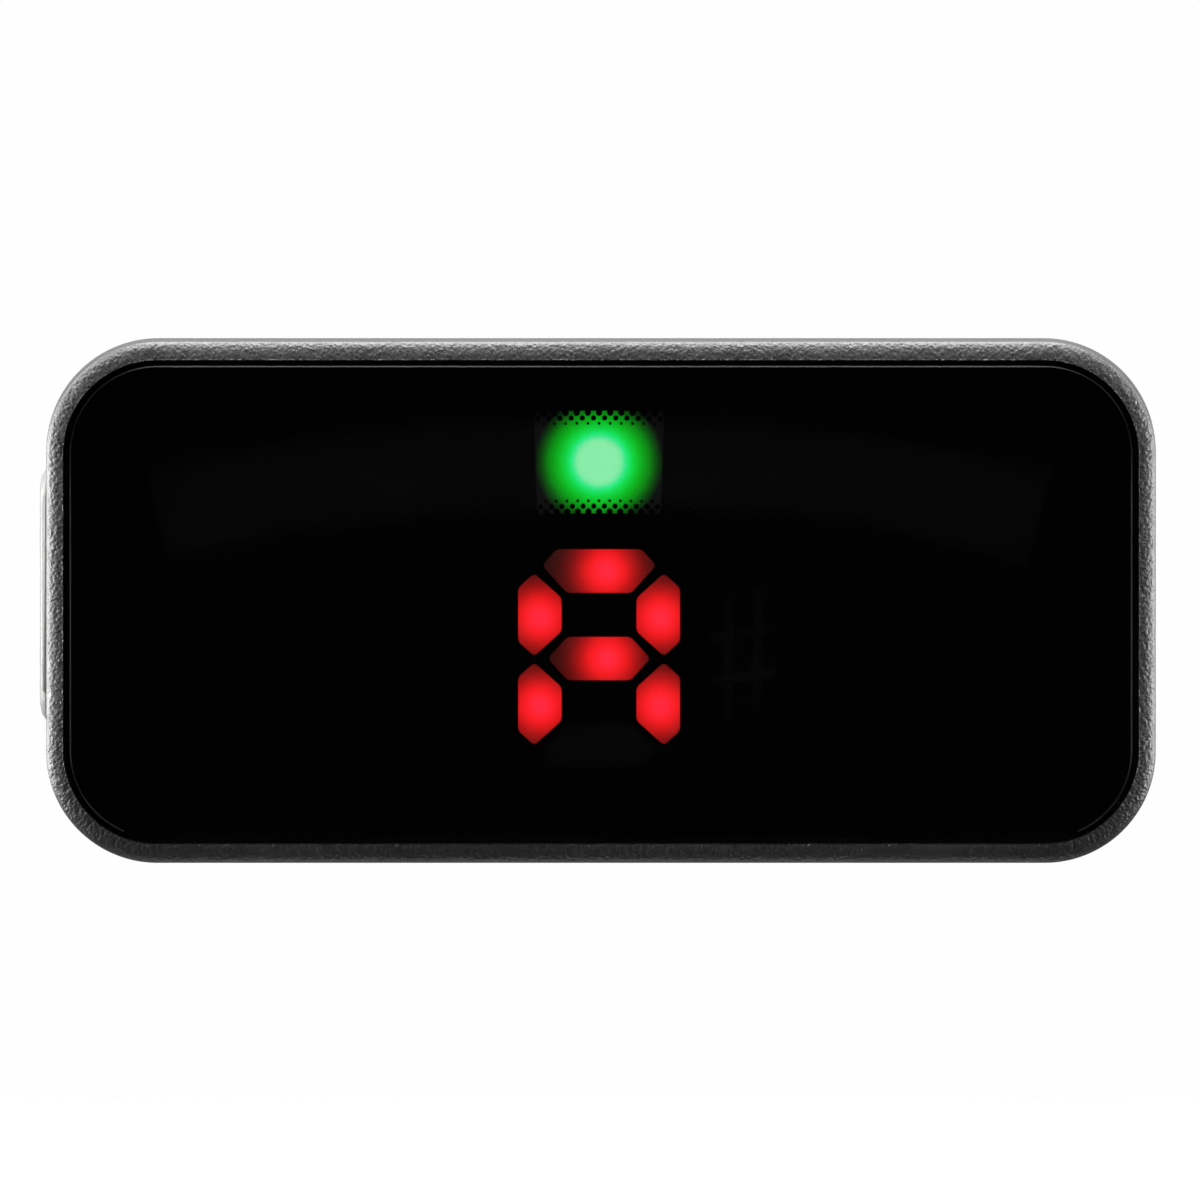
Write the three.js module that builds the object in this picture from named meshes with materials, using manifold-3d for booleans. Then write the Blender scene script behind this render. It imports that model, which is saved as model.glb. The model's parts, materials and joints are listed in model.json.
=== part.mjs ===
// Clip on tuner: a display head on a tilting, swivelling neck, held by a sprung clip.
// Millimetres. X runs along the head's width, Y from the display to the clip, Z up.
// Pieces are drawn with the crest of the display rim at y = 0, then moved so that the
// middle of the fixed jaw's gripping face is the origin.

import * as THREE from 'three';
import { mergeVertices } from 'three/addons/utils/BufferGeometryUtils.js';
import Module from 'manifold-3d';

const wasm = await Module();
wasm.setup();

// ---------------------------------------------------------------- sizes

const HEAD = { halfWidth: 29.0, halfHeight: 13.7, corner: 5.86, parting: 7.0, back: 12.0 };
const BEAD = { outerW: 28.8, outerH: 13.5, innerW: 28.03, innerH: 12.6, depth: 0.55, steps: 8 };
const WALL = 1.2;
const LEDGE = { halfWidth: 26.2, halfHeight: 11.0, front: 1.62, back: 2.4 };
const LENS = { halfWidth: 27.7, halfHeight: 12.32, front: 0.45, back: 1.45, chamfer: 0.12 };
const FILM = { halfWidth: 27.5, halfHeight: 12.1, front: 1.47, back: 1.6 };
const DIFFUSER = { front: 1.64, back: 1.9 };
const LIGHT_BOX = { halfWidth: 26.0, halfHeight: 10.8, corner: 8.5, front: 1.93, back: 4.4 };
const BOARD = { halfWidth: 26.2, halfHeight: 11.0, corner: 9.0, front: 4.43, back: 5.43 };

const METER = { x: -0.1, z: 7.3, radius: 95, pitch: 6.64, height: 5.4, count: 7 };
const DIGIT = { x: -0.1, z: -2.95, tipX: 2.97, tipZ: 4.86, sideX: 3.38, outer: 0.84, inner: 1.43 };
const SHARP = { x: 7.41, z: -2.76, halfWidth: 1.7, halfHeight: 3.45 };
const CHIP = { long: 1.6, short: 0.8, front: 3.85, back: 4.41 };

const SCREW = { x: 25.6, z: 9.0, headRadius: 1.3, headHeight: 0.9, shaftRadius: 0.75, length: 6.5 };
const BOSS = { radius: 1.6, pilot: 0.85, clearance: 0.95, counterbore: 1.45 };
const SCREW_SEAT = { left: 10.8, right: 9.7 };

const BUTTON = { z: 0.35, y: 4.7, halfLength: 6.55, halfDepth: 1.5, outer: -29.3 };
const SWITCH = { left: -26.1, right: -23.1, front: 5.45, back: 7.05, y: 6.25, halfLength: 2.35 };

const CELL = { x: 16.4, radius: 10.0, front: 7.2, back: 10.4 };
const TRAY = { inner: 10.3, outer: 10.9, front: 6.4, lip: 9.3, lipBack: 7.15 };
const FLOOR = 9.9;
const HATCH = { left: 6.0, halfHeight: 10.3, front: 10.95, tongue: 10.9, gap: 0.1 };

const RUNNING = 0.08;
const TILT = { y: 17.0, pin: 1.05, knuckle: 3.0, earInner: 3.4, earOuter: 5.4 };
const SWIVEL_PIN = 1.2;
const NECK = { halfWidth: 2.95, discRadius: 6.2, discFront: 22.4, discBack: 24.6 };

const FRAME = { front: 25.0, back: 27.4, left: -25.5, right: 26.5, halfHeight: 6.5 };
const PAD = { x: -19.5, halfLength: 5.5, halfHeight: 6.0, thickness: 2.0 };
const MOUTH = 2.4;
const JAW = { front: FRAME.back + 2 * PAD.thickness + MOUTH, thickness: 2.4, halfHeight: 6.2 };
const HINGE = { x: 6.0, y: 30.6, pin: 1.0, reach: 3.2 };
const LEVER_SLOPE = THREE.MathUtils.degToRad(22.5);
const BEND_RADIUS = 18;
const WIRE = { radius: 0.3, coil: 1.9, halfLength: 1.6, turns: 5 };

const ORIGIN = new THREE.Vector3(PAD.x, FRAME.back + PAD.thickness, 0);

// ---------------------------------------------------------------- outlines

function arcPoints(u, v, radius, start, end, steps) {
  const points = [];
  for (let k = 0; k <= steps; k += 1) {
    const angle = start + ((end - start) * k) / steps;
    points.push(new THREE.Vector2(u + radius * Math.cos(angle), v + radius * Math.sin(angle)));
  }
  return points;
}

function circle(u, v, radius, sides = 24) {
  return arcPoints(u, v, radius, 0, 2 * Math.PI, sides).slice(0, sides);
}

function roundedRect(halfU, halfV, corner, steps = 6, u = 0, v = 0) {
  const quarter = Math.PI / 2;
  const corners = [[1, 1], [-1, 1], [-1, -1], [1, -1]];
  return corners.flatMap(([su, sv], k) => {
    const cu = u + su * (halfU - corner);
    const cv = v + sv * (halfV - corner);
    return arcPoints(cu, cv, corner, k * quarter, (k + 1) * quarter, steps);
  });
}

function polygon(...pairs) {
  return pairs.map(([u, v]) => new THREE.Vector2(u, v));
}

// A strip of even thickness along a bent line, mitred at the bends.
function strip(path, thickness) {
  const sides = [[], []];
  path.forEach((point, k) => {
    const before = path[Math.max(k - 1, 0)];
    const after = path[Math.min(k + 1, path.length - 1)];
    const along = point.clone().sub(before).normalize();
    const onward = after.clone().sub(point).normalize();
    const mean = along.clone().add(onward).normalize();
    const normal = new THREE.Vector2(-mean.y, mean.x);
    const straight = k === 0 ? onward : along;
    const reach = thickness / 2 / Math.abs(mean.dot(straight));
    sides[0].push(point.clone().addScaledVector(normal, -reach));
    sides[1].push(point.clone().addScaledVector(normal, reach));
  });
  return [...sides[0], ...sides[1].reverse()];
}

// ---------------------------------------------------------------- solids

const BASES = {
  x: [new THREE.Vector3(0, 1, 0), new THREE.Vector3(0, 0, 1), new THREE.Vector3(1, 0, 0)],
  y: [new THREE.Vector3(1, 0, 0), new THREE.Vector3(0, 0, 1), new THREE.Vector3(0, -1, 0)],
  z: [new THREE.Vector3(1, 0, 0), new THREE.Vector3(0, 1, 0), new THREE.Vector3(0, 0, 1)],
};

// Extrudes an outline along an axis. Outlines are (y, z), (x, z) or (x, y) for x, y and z.
function prism(axis, outline, from, to, holes = []) {
  const shape = new THREE.Shape(outline);
  holes.forEach((hole) => shape.holes.push(new THREE.Path(hole)));
  const geometry = new THREE.ExtrudeGeometry(shape, { depth: to - from, bevelEnabled: false });
  geometry.applyMatrix4(new THREE.Matrix4().makeBasis(...BASES[axis]));
  const start = axis === 'y' ? to : from;
  const shift = new THREE.Vector3();
  shift[axis] = start;
  return geometry.translate(shift.x, shift.y, shift.z);
}

function box(x0, x1, y0, y1, z0, z1) {
  return prism('z', polygon([x0, y0], [x1, y0], [x1, y1], [x0, y1]), z0, z1);
}

function rod(axis, u, v, radius, from, to, sides = 24) {
  return prism(axis, circle(u, v, radius, sides), from, to);
}

function washer(axis, u, v, inner, outer, from, to) {
  return prism(axis, circle(u, v, outer), from, to, [circle(u, v, inner)]);
}

// Turns a [radius, level] profile about a line along the axis.
function turned(axis, place, profile, sides = 24) {
  const points = profile.map(([radius, level]) => new THREE.Vector2(radius, level));
  const geometry = new THREE.LatheGeometry(points, sides);
  if (axis === 'x') geometry.rotateZ(-Math.PI / 2);
  if (axis === 'z') geometry.rotateX(Math.PI / 2);
  return geometry.translate(...place);
}

function ring(axis, outline, level) {
  const [u, v] = BASES[axis];
  return outline.map((point) => {
    const place = new THREE.Vector3().addScaledVector(u, point.x).addScaledVector(v, point.y);
    place[axis] = level;
    return place;
  });
}

function signedVolume(positions, index) {
  const corner = (k) => new THREE.Vector3().fromArray(positions, 3 * index[k]);
  let total = 0;
  for (let k = 0; k < index.length; k += 3) {
    total += corner(k).dot(corner(k + 1).cross(corner(k + 2)));
  }
  return total;
}

function capFan(index, start, count, reversed) {
  for (let k = 1; k < count - 1; k += 1) {
    const pair = reversed ? [start + k + 1, start + k] : [start + k, start + k + 1];
    index.push(start, ...pair);
  }
}

// Skins a row of matching rings, either capped at both ends or joined end to end.
function loft(rings, joined) {
  const count = rings[0].length;
  const positions = rings.flat().flatMap((point) => [point.x, point.y, point.z]);
  const index = [];
  const bands = joined ? rings.length : rings.length - 1;
  for (let band = 0; band < bands; band += 1) {
    const here = band * count;
    const next = ((band + 1) % rings.length) * count;
    for (let k = 0; k < count; k += 1) {
      const after = (k + 1) % count;
      index.push(here + k, next + k, next + after, here + k, next + after, here + after);
    }
  }
  if (!joined) {
    capFan(index, 0, count, false);
    capFan(index, (rings.length - 1) * count, count, true);
  }
  if (signedVolume(positions, index) < 0) index.reverse();
  const geometry = new THREE.BufferGeometry();
  geometry.setAttribute('position', new THREE.Float32BufferAttribute(positions, 3));
  geometry.setIndex(index);
  return geometry;
}

function solid(geometry) {
  const bare = geometry.clone();
  bare.deleteAttribute('normal');
  bare.deleteAttribute('uv');
  const welded = mergeVertices(bare, 1e-4);
  const mesh = new wasm.Mesh({
    numProp: 3,
    vertProperties: new Float32Array(welded.attributes.position.array),
    triVerts: new Uint32Array(welded.index.array),
  });
  return new wasm.Manifold(mesh);
}

function surface(manifold) {
  const mesh = manifold.getMesh();
  const geometry = new THREE.BufferGeometry();
  geometry.setAttribute('position', new THREE.BufferAttribute(mesh.vertProperties, 3));
  geometry.setIndex(new THREE.BufferAttribute(mesh.triVerts, 1));
  return geometry;
}

function build(added, removed = []) {
  const whole = added.map(solid).reduce((sum, next) => sum.add(next));
  return surface(removed.map(solid).reduce((rest, next) => rest.subtract(next), whole));
}

// A flat plate normal to Y with eased edges on its front or back face.
function plate(halfU, halfV, corner, x, z, from, to, ease, easedFront, easedBack) {
  const levels = [];
  if (easedFront) levels.push([ease, from], [ease * 0.3, from + ease * 0.3]);
  levels.push([0, easedFront ? from + ease : from], [0, easedBack ? to - ease : to]);
  if (easedBack) levels.push([ease * 0.3, to - ease * 0.3], [ease, to]);
  const rings = levels.map(([inset, level]) => {
    const outline = roundedRect(halfU - inset, halfV - inset, corner - inset, 5, x, z);
    return ring('y', outline, level);
  });
  return loft(rings, false);
}

// ---------------------------------------------------------------- head shell

function headRing(halfW, halfH, level) {
  const corner = HEAD.corner - (HEAD.halfWidth - halfW);
  return ring('y', roundedRect(halfW, halfH, corner, 8), level);
}

// The rim rolls over from its crest, at the inner edge, to the side wall.
function beadRings() {
  const spanW = BEAD.outerW - BEAD.innerW;
  const spanH = BEAD.outerH - BEAD.innerH;
  const rings = [];
  for (let k = 0; k <= BEAD.steps; k += 1) {
    const angle = (Math.PI / 2) * (k / BEAD.steps);
    const level = BEAD.depth * (1 - Math.cos(angle));
    const out = Math.sin(angle);
    rings.push(headRing(BEAD.innerW + spanW * out, BEAD.innerH + spanH * out, level));
  }
  return rings;
}

function bosses(level0, level1, radius, sides = 20) {
  const places = [[-1, -1], [-1, 1], [1, -1], [1, 1]];
  return places.map(([sx, sz]) => rod('y', sx * SCREW.x, sz * SCREW.z, radius, level0, level1, sides));
}

function frontBezel() {
  const innerW = HEAD.halfWidth - WALL;
  const innerH = HEAD.halfHeight - WALL;
  const rings = [
    headRing(BEAD.innerW, BEAD.innerH, LEDGE.front),
    ...beadRings(),
    headRing(HEAD.halfWidth, HEAD.halfHeight, HEAD.parting),
    headRing(innerW, innerH, HEAD.parting),
    headRing(innerW - 0.1, innerH - 0.1, LEDGE.back),
    headRing(LEDGE.halfWidth, LEDGE.halfHeight, LEDGE.back),
    headRing(LEDGE.halfWidth, LEDGE.halfHeight, LEDGE.front),
  ];
  const slot = roundedRect(BUTTON.halfDepth + 0.1, BUTTON.halfLength + 0.1, 1.5, 5, BUTTON.y, BUTTON.z);
  const pilots = bosses(LEDGE.back + 0.5, HEAD.parting + 1, BOSS.pilot, 16);
  return build(
    [loft(rings, true), ...bosses(LEDGE.back - 0.2, HEAD.parting - 0.05, BOSS.radius)],
    [prism('x', slot, -HEAD.halfWidth - 1, -HEAD.halfWidth + WALL + 0.5), ...pilots],
  );
}

function displayLens() {
  const inset = LENS.chamfer;
  return loft([
    headRing(LENS.halfWidth - inset, LENS.halfHeight - inset, LENS.front),
    headRing(LENS.halfWidth, LENS.halfHeight, LENS.front + inset),
    headRing(LENS.halfWidth, LENS.halfHeight, LENS.back),
  ], false);
}

const BACK_PROFILE = [
  [HEAD.halfWidth, HEAD.parting + 0.06],
  [28.92, 8.2],
  [28.62, 9.6],
  [28.2, 10.8],
  [27.85, 11.35],
  [27.4, 11.78],
  [26.8, HEAD.back],
];

function backRings() {
  const drop = HEAD.halfWidth - HEAD.halfHeight;
  return BACK_PROFILE.map(([halfW, level]) => headRing(halfW, halfW - drop, level));
}

function rearShell() {
  const drop = HEAD.halfWidth - HEAD.halfHeight;
  const rim = HEAD.halfWidth - WALL;
  const outer = backRings().reverse();
  const inner = [[rim, HEAD.parting + 0.06], [rim - 0.4, FLOOR - 0.5], [rim - 0.9, FLOOR]];
  return loft([...outer, ...inner.map(([w, level]) => headRing(w, w - drop, level))], false);
}

function hingeEar(side) {
  const half = (4 * Math.PI) / 9;
  const outline = [
    new THREE.Vector2(HEAD.back - 0.5, -4.6),
    ...arcPoints(TILT.y, 0, TILT.knuckle + 0.1, -half, half, 12),
    new THREE.Vector2(HEAD.back - 0.5, 4.6),
  ];
  const levels = [side * TILT.earInner, side * TILT.earOuter].sort((a, b) => a - b);
  return prism('x', outline, levels[0], levels[1]);
}

function hatchBay() {
  const left = HATCH.left - HATCH.gap;
  const right = HEAD.halfWidth + 1;
  const half = HATCH.halfHeight + HATCH.gap;
  const grooveHalf = HATCH.tongue + HATCH.gap;
  const deck = HATCH.front - HATCH.gap;
  return [
    box(left, right, deck, HEAD.back + 1, -half, half),
    box(left, right, HATCH.front + 0.1, HATCH.front + 0.7, -grooveHalf, grooveHalf),
    rod('y', CELL.x, 0, TRAY.inner - 0.05, TRAY.lipBack, HEAD.back + 1, 36),
  ];
}

function screwBores() {
  const left = [[-1, -1], [-1, 1]];
  const right = [[1, -1], [1, 1]];
  const bore = ([sx, sz], seat) => [
    rod('y', sx * SCREW.x, sz * SCREW.z, BOSS.clearance, HEAD.parting - 1, HEAD.back + 1, 16),
    rod('y', sx * SCREW.x, sz * SCREW.z, BOSS.counterbore, seat, HEAD.back + 1, 20),
  ];
  return [
    ...left.flatMap((place) => bore(place, SCREW_SEAT.left)),
    ...right.flatMap((place) => bore(place, SCREW_SEAT.right)),
  ];
}

function rearCover() {
  const tray = washer('y', CELL.x, 0, TRAY.inner - 0.05, TRAY.outer, TRAY.front, FLOOR + 0.3);
  const lip = washer('y', CELL.x, 0, TRAY.lip, TRAY.outer - 0.2, TRAY.front, TRAY.lipBack);
  const posts = bosses(HEAD.parting + 0.06, FLOOR + 0.3, BOSS.radius);
  const notch = box(CELL.x - TRAY.outer - 0.6, 8.2, TRAY.front - 1, FLOOR - 0.02, -2.4, 2.4);
  return build(
    [rearShell(), hingeEar(-1), hingeEar(1), tray, lip, ...posts],
    [
      ...hatchBay(),
      ...screwBores(),
      notch,
      rod('x', TILT.y, 0, TILT.pin + RUNNING, -TILT.earOuter - 1, TILT.earOuter + 1),
    ],
  );
}

function batteryHatch() {
  const drop = HEAD.halfWidth - HEAD.halfHeight;
  const skin = solid(loft([headRing(28.2, 28.2 - drop, 10.4), ...backRings().slice(3)], false));
  const right = HEAD.halfWidth + 1;
  const deck = box(HATCH.left, right, HATCH.front, HEAD.back + 1, -HATCH.halfHeight, HATCH.halfHeight);
  const tongueBack = HATCH.front + 0.6;
  const tongue = box(HATCH.left, right, HATCH.front + 0.2, tongueBack, -HATCH.tongue, HATCH.tongue);
  let panel = solid(deck).add(solid(tongue)).intersect(skin);
  for (let k = 0; k < 5; k += 1) {
    const x = 18.5 + 1.3 * k;
    panel = panel.subtract(solid(box(x, x + 0.6, HEAD.back - 0.3, HEAD.back + 1, -5.5, 5.5)));
  }
  return surface(panel);
}

// ---------------------------------------------------------------- display

function meterCentre(k) {
  const angle = ((k - (METER.count - 1) / 2) * METER.pitch) / METER.radius;
  const x = METER.x + METER.radius * Math.sin(angle);
  const z = METER.z - METER.radius * (1 - Math.cos(angle));
  return { x, z, angle };
}

function meterWindow() {
  const half = (METER.pitch * METER.count) / 2 / METER.radius;
  const hub = METER.z - METER.radius;
  const top = METER.radius + METER.height / 2;
  const foot = METER.radius - METER.height / 2;
  const middle = Math.PI / 2;
  return [
    ...arcPoints(METER.x, hub, top, middle - half, middle + half, 24),
    ...arcPoints(METER.x, hub, foot, middle + half, middle - half, 24),
  ];
}

function meterChamber(k) {
  const { x, z, angle } = meterCentre(k);
  const outline = roundedRect(METER.pitch / 2 - 0.15, METER.height / 2 + 0.1, 2.4, 3);
  const turn = new THREE.Vector2();
  return outline.map((point) => point.clone().rotateAround(turn, -angle).add(new THREE.Vector2(x, z)));
}

// A bevelled bar between two tips; its two long sides stand off by different amounts.
function barOutline(tipA, tipB, sideA, sideB) {
  const along = tipB.clone().sub(tipA).normalize();
  const across = new THREE.Vector2(-along.y, along.x);
  const corner = (tip, run, rise) => tip.clone().addScaledVector(along, run).addScaledVector(across, rise);
  return [
    tipA,
    corner(tipA, 0.9 * sideA, -sideA),
    corner(tipB, -0.9 * sideA, -sideA),
    tipB,
    corner(tipB, -0.9 * sideB, sideB),
    corner(tipA, 0.9 * sideB, sideB),
  ];
}

const BARS = {
  top: [[DIGIT.tipX, DIGIT.tipZ], [-DIGIT.tipX, DIGIT.tipZ], DIGIT.outer, DIGIT.inner],
  bottom: [[-DIGIT.tipX, -DIGIT.tipZ], [DIGIT.tipX, -DIGIT.tipZ], DIGIT.outer, DIGIT.inner],
  middle: [[-2.67, 0], [2.67, 0], 1.13, 1.13],
  upper_left: [[-DIGIT.sideX, 4.44], [-DIGIT.sideX, 0.13], DIGIT.outer, DIGIT.inner],
  lower_left: [[-DIGIT.sideX, -0.21], [-DIGIT.sideX, -4.52], DIGIT.outer, DIGIT.inner],
  upper_right: [[DIGIT.sideX, 0.13], [DIGIT.sideX, 4.44], DIGIT.outer, DIGIT.inner],
  lower_right: [[DIGIT.sideX, -4.52], [DIGIT.sideX, -0.21], DIGIT.outer, DIGIT.inner],
};

function digitBar(name) {
  const [tipA, tipB, sideA, sideB] = BARS[name];
  const place = ([x, z]) => new THREE.Vector2(DIGIT.x + x, DIGIT.z + z);
  return barOutline(place(tipA), place(tipB), sideA, sideB);
}

function sharpWindow() {
  return roundedRect(SHARP.halfWidth, SHARP.halfHeight, 0.6, 3, SHARP.x, SHARP.z);
}

function maskFilm() {
  const corner = HEAD.corner - (HEAD.halfWidth - FILM.halfWidth);
  const outline = roundedRect(FILM.halfWidth, FILM.halfHeight, corner, 9);
  const bars = Object.keys(BARS).map(digitBar);
  return prism('y', outline, FILM.front, FILM.back, [meterWindow(), ...bars, sharpWindow()]);
}

function displayBlock(halfWidth, halfHeight, corner, from, to, holes) {
  return prism('y', roundedRect(halfWidth, halfHeight, corner, 8), from, to, holes);
}

function diffuserSheet() {
  const { halfWidth, halfHeight, corner } = LIGHT_BOX;
  return displayBlock(halfWidth, halfHeight, corner, DIFFUSER.front, DIFFUSER.back, []);
}

function lightBox() {
  const meter = Array.from({ length: METER.count }, (_, k) => meterChamber(k));
  const holes = [...meter, ...Object.keys(BARS).map(digitBar), sharpWindow()];
  const { halfWidth, halfHeight, corner, front, back } = LIGHT_BOX;
  return displayBlock(halfWidth, halfHeight, corner, front, back, holes);
}

function circuitBoard() {
  const { halfWidth, halfHeight, corner, front, back } = BOARD;
  return displayBlock(halfWidth, halfHeight, corner, front, back, []);
}

function chip(x, z, upright) {
  const halfX = (upright ? CHIP.short : CHIP.long) / 2;
  const halfZ = (upright ? CHIP.long : CHIP.short) / 2;
  return box(x - halfX, x + halfX, CHIP.front, CHIP.back, z - halfZ, z + halfZ);
}

const DIGIT_CHIPS = {
  top: [0.38, 4.55, false],
  middle: [0.43, 0, false],
  bottom: [0.38, -4.55, false],
  upper_left: [-3.07, 2.14, true],
  upper_right: [3.2, 2.14, true],
  lower_left: [-3.07, -2.46, true],
  lower_right: [3.2, -2.46, true],
};

// ---------------------------------------------------------------- electronics

function boardPart(x, z, halfX, halfZ, height) {
  const from = BOARD.back + 0.02;
  return plate(halfX, halfZ, 0.35, x, z, from, from + height, 0.12, false, true);
}

function powerSwitch() {
  const { left, right, front, back, y, halfLength } = SWITCH;
  const body = box(left, right, front, back, BUTTON.z - halfLength, BUTTON.z + halfLength);
  const socket = box(left - 1, left + 1.35, y - 0.55, y + 0.55, BUTTON.z - 0.9, BUTTON.z + 0.9);
  return build([body], [socket]);
}

function switchPlunger() {
  const { left, y } = SWITCH;
  return box(left - 0.9, left + 0.7, y - 0.4, y + 0.4, BUTTON.z - 0.75, BUTTON.z + 0.75);
}

function powerButton() {
  const steps = [[-27.2, 0, 0], [-29.0, 0, 0], [-29.2, 0.12, 0.3], [BUTTON.outer, 0.35, 0.8]];
  const cap = steps.map(([level, insetY, insetZ]) => {
    const halfY = BUTTON.halfDepth - insetY;
    const halfZ = BUTTON.halfLength - insetZ;
    return ring('x', roundedRect(halfY, halfZ, 1.4 - insetY, 5, BUTTON.y, BUTTON.z), level);
  });
  const flange = box(-27.55, -27.05, 3.2, 6.9, BUTTON.z - 7.2, BUTTON.z + 7.2);
  return build([loft(cap, false), flange]);
}

function batteryCell() {
  const { radius, front, back } = CELL;
  return turned('y', [CELL.x, 0, 0], [
    [0, front],
    [radius - 1.35, front],
    [radius - 1.1, front + 0.2],
    [radius - 0.3, front + 0.25],
    [radius, front + 0.55],
    [radius, back - 0.25],
    [radius - 0.25, back],
    [0, back],
  ], 36);
}

function contactStrip(path, halfWidth) {
  return prism('z', strip(polygon(...path), 0.25), -halfWidth, halfWidth);
}

function positiveContact() {
  const foot = BOARD.back + 0.15;
  const rim = CELL.x - CELL.radius;
  const riser = rim - 0.52;
  return contactStrip([
    [2.6, foot],
    [riser, foot],
    [riser, 7.7],
    [rim - 0.19, 8.4],
    [riser, 9.1],
    [riser, 9.6],
  ], 2.0);
}

function negativeContact() {
  const foot = BOARD.back + 0.15;
  const touch = CELL.front - 0.19;
  return contactStrip([[10.5, foot], [13.6, foot], [16.4, touch - 0.1], [17.6, touch], [20.2, 6.2]], 2.2);
}

function wire(points, radius, steps, sides) {
  const curve = new THREE.CatmullRomCurve3(points, false, 'centripetal');
  const options = { steps, extrudePath: curve, bevelEnabled: false };
  return new THREE.ExtrudeGeometry(new THREE.Shape(circle(0, 0, radius, sides)), options);
}

function piezoLead(start, middle, end) {
  const points = [start, middle, end].map((place) => new THREE.Vector3(...place));
  return wire(points, 0.25, 10, 6);
}

// ---------------------------------------------------------------- fasteners

function crossRecess(axis, place, level, depth) {
  const cut = (halfA, halfB) => {
    const span = { x: [0, 0], y: [0, 0], z: [0, 0] };
    const [first, second] = axis === 'y' ? ['x', 'z'] : ['y', 'z'];
    span[first] = [place[first] - halfA, place[first] + halfA];
    span[second] = [place[second] - halfB, place[second] + halfB];
    span[axis] = depth > 0 ? [level, level + depth] : [level + depth, level];
    return box(...span.x, ...span.y, ...span.z);
  };
  return [cut(0.18, 0.8), cut(0.8, 0.18)];
}

function caseScrew(sx, sz, seat) {
  const { headRadius, headHeight, shaftRadius, length } = SCREW;
  const place = { x: sx * SCREW.x, y: 0, z: sz * SCREW.z };
  const body = turned('y', [place.x, 0, place.z], [
    [0, seat - length],
    [shaftRadius * 0.4, seat - length],
    [shaftRadius, seat - length + 0.6],
    [shaftRadius, seat + 0.02],
    [headRadius, seat + 0.02],
    [headRadius, seat + headHeight - 0.3],
    [headRadius - 0.3, seat + headHeight],
    [0, seat + headHeight],
  ], 20);
  return build([body], crossRecess('y', place, seat + headHeight - 0.45, 1));
}

function tiltScrew() {
  const head = -TILT.earOuter - 0.05;
  const body = turned('x', [0, TILT.y, 0], [
    [0, head - 1.1],
    [1.2, head - 1.1],
    [1.75, head - 0.8],
    [2.0, head - 0.35],
    [2.0, head],
    [TILT.pin, head],
    [TILT.pin, 6.55],
    [TILT.pin - 0.25, 6.8],
    [0, 6.8],
  ]);
  return build([body], crossRecess('x', { x: 0, y: TILT.y, z: 0 }, head - 0.6, -1));
}

function tiltNut() {
  const start = TILT.earOuter + 0.05;
  return prism('x', circle(TILT.y, 0, 2.1, 6), start, start + 1.1, [circle(TILT.y, 0, TILT.pin + 0.1)]);
}

function swivelScrew() {
  const seat = FRAME.back + 0.05;
  const body = turned('y', [0, 0, 0], [
    [0, 20.8],
    [SWIVEL_PIN - 0.2, 20.8],
    [SWIVEL_PIN, 21.0],
    [SWIVEL_PIN, seat],
    [2.3, seat],
    [2.3, seat + 0.45],
    [1.9, seat + 0.85],
    [1.2, seat + 1.0],
    [0, seat + 1.0],
  ]);
  return build([body], crossRecess('y', { x: 0, y: 0, z: 0 }, seat + 0.5, 1));
}

// ---------------------------------------------------------------- neck and clip

function neck() {
  const { halfWidth, discRadius, discFront, discBack } = NECK;
  const disc = turned('y', [0, 0, 0], [
    [0, discFront],
    [discRadius - 1.2, discFront],
    [discRadius - 0.3, discFront + 0.5],
    [discRadius, discFront + 1.0],
    [discRadius, discBack],
    [0, discBack],
  ], 32);
  const flank = TILT.knuckle;
  const post = polygon([TILT.y, -flank], [discFront + 0.3, -4.2], [discFront + 0.3, 4.2], [TILT.y, flank]);
  return build(
    [rod('x', TILT.y, 0, flank, -halfWidth, halfWidth), prism('x', post, -halfWidth, halfWidth), disc],
    [
      rod('x', TILT.y, 0, TILT.pin + RUNNING, -halfWidth - 1, halfWidth + 1),
      rod('y', 0, 0, SWIVEL_PIN + 0.05, 20.6, discBack + 1),
    ],
  );
}

function frameLug(z0, z1) {
  const { x, y } = HINGE;
  const stop = JAW.front - 0.08;
  const outline = [
    ...polygon([x + 2.9, FRAME.back - 0.5]),
    ...arcPoints(x, y, 2.9, 0, Math.PI / 2 + 0.2, 7),
    ...polygon([x - 1.6, stop], [x - 4.5, stop], [x - 4.5, FRAME.back - 0.5]),
  ];
  return prism('z', outline, z0, z1);
}

function clipFrame() {
  const halfLength = (FRAME.right - FRAME.left) / 2;
  const middle = (FRAME.right + FRAME.left) / 2;
  const { front, back, halfHeight } = FRAME;
  const base = plate(halfLength, halfHeight, 3.2, middle, 0, front, back, 0.5, true, false);
  return build(
    [base, frameLug(4.4, 6.2), frameLug(-6.2, -4.4)],
    [
      rod('z', HINGE.x, HINGE.y, HINGE.pin + RUNNING, -8, 8),
      rod('y', 0, 0, SWIVEL_PIN + RUNNING, FRAME.front - 1, FRAME.back + 1),
    ],
  );
}

function leverBend(offset) {
  const shift = (HINGE.reach + offset) * Math.tan(LEVER_SLOPE / 2);
  return new THREE.Vector2(HINGE.x - shift, JAW.front + offset);
}

function leverPoint(x, offset) {
  const bend = leverBend(offset);
  return new THREE.Vector2(x, bend.y + (x - bend.x) * Math.tan(LEVER_SLOPE));
}

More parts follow.
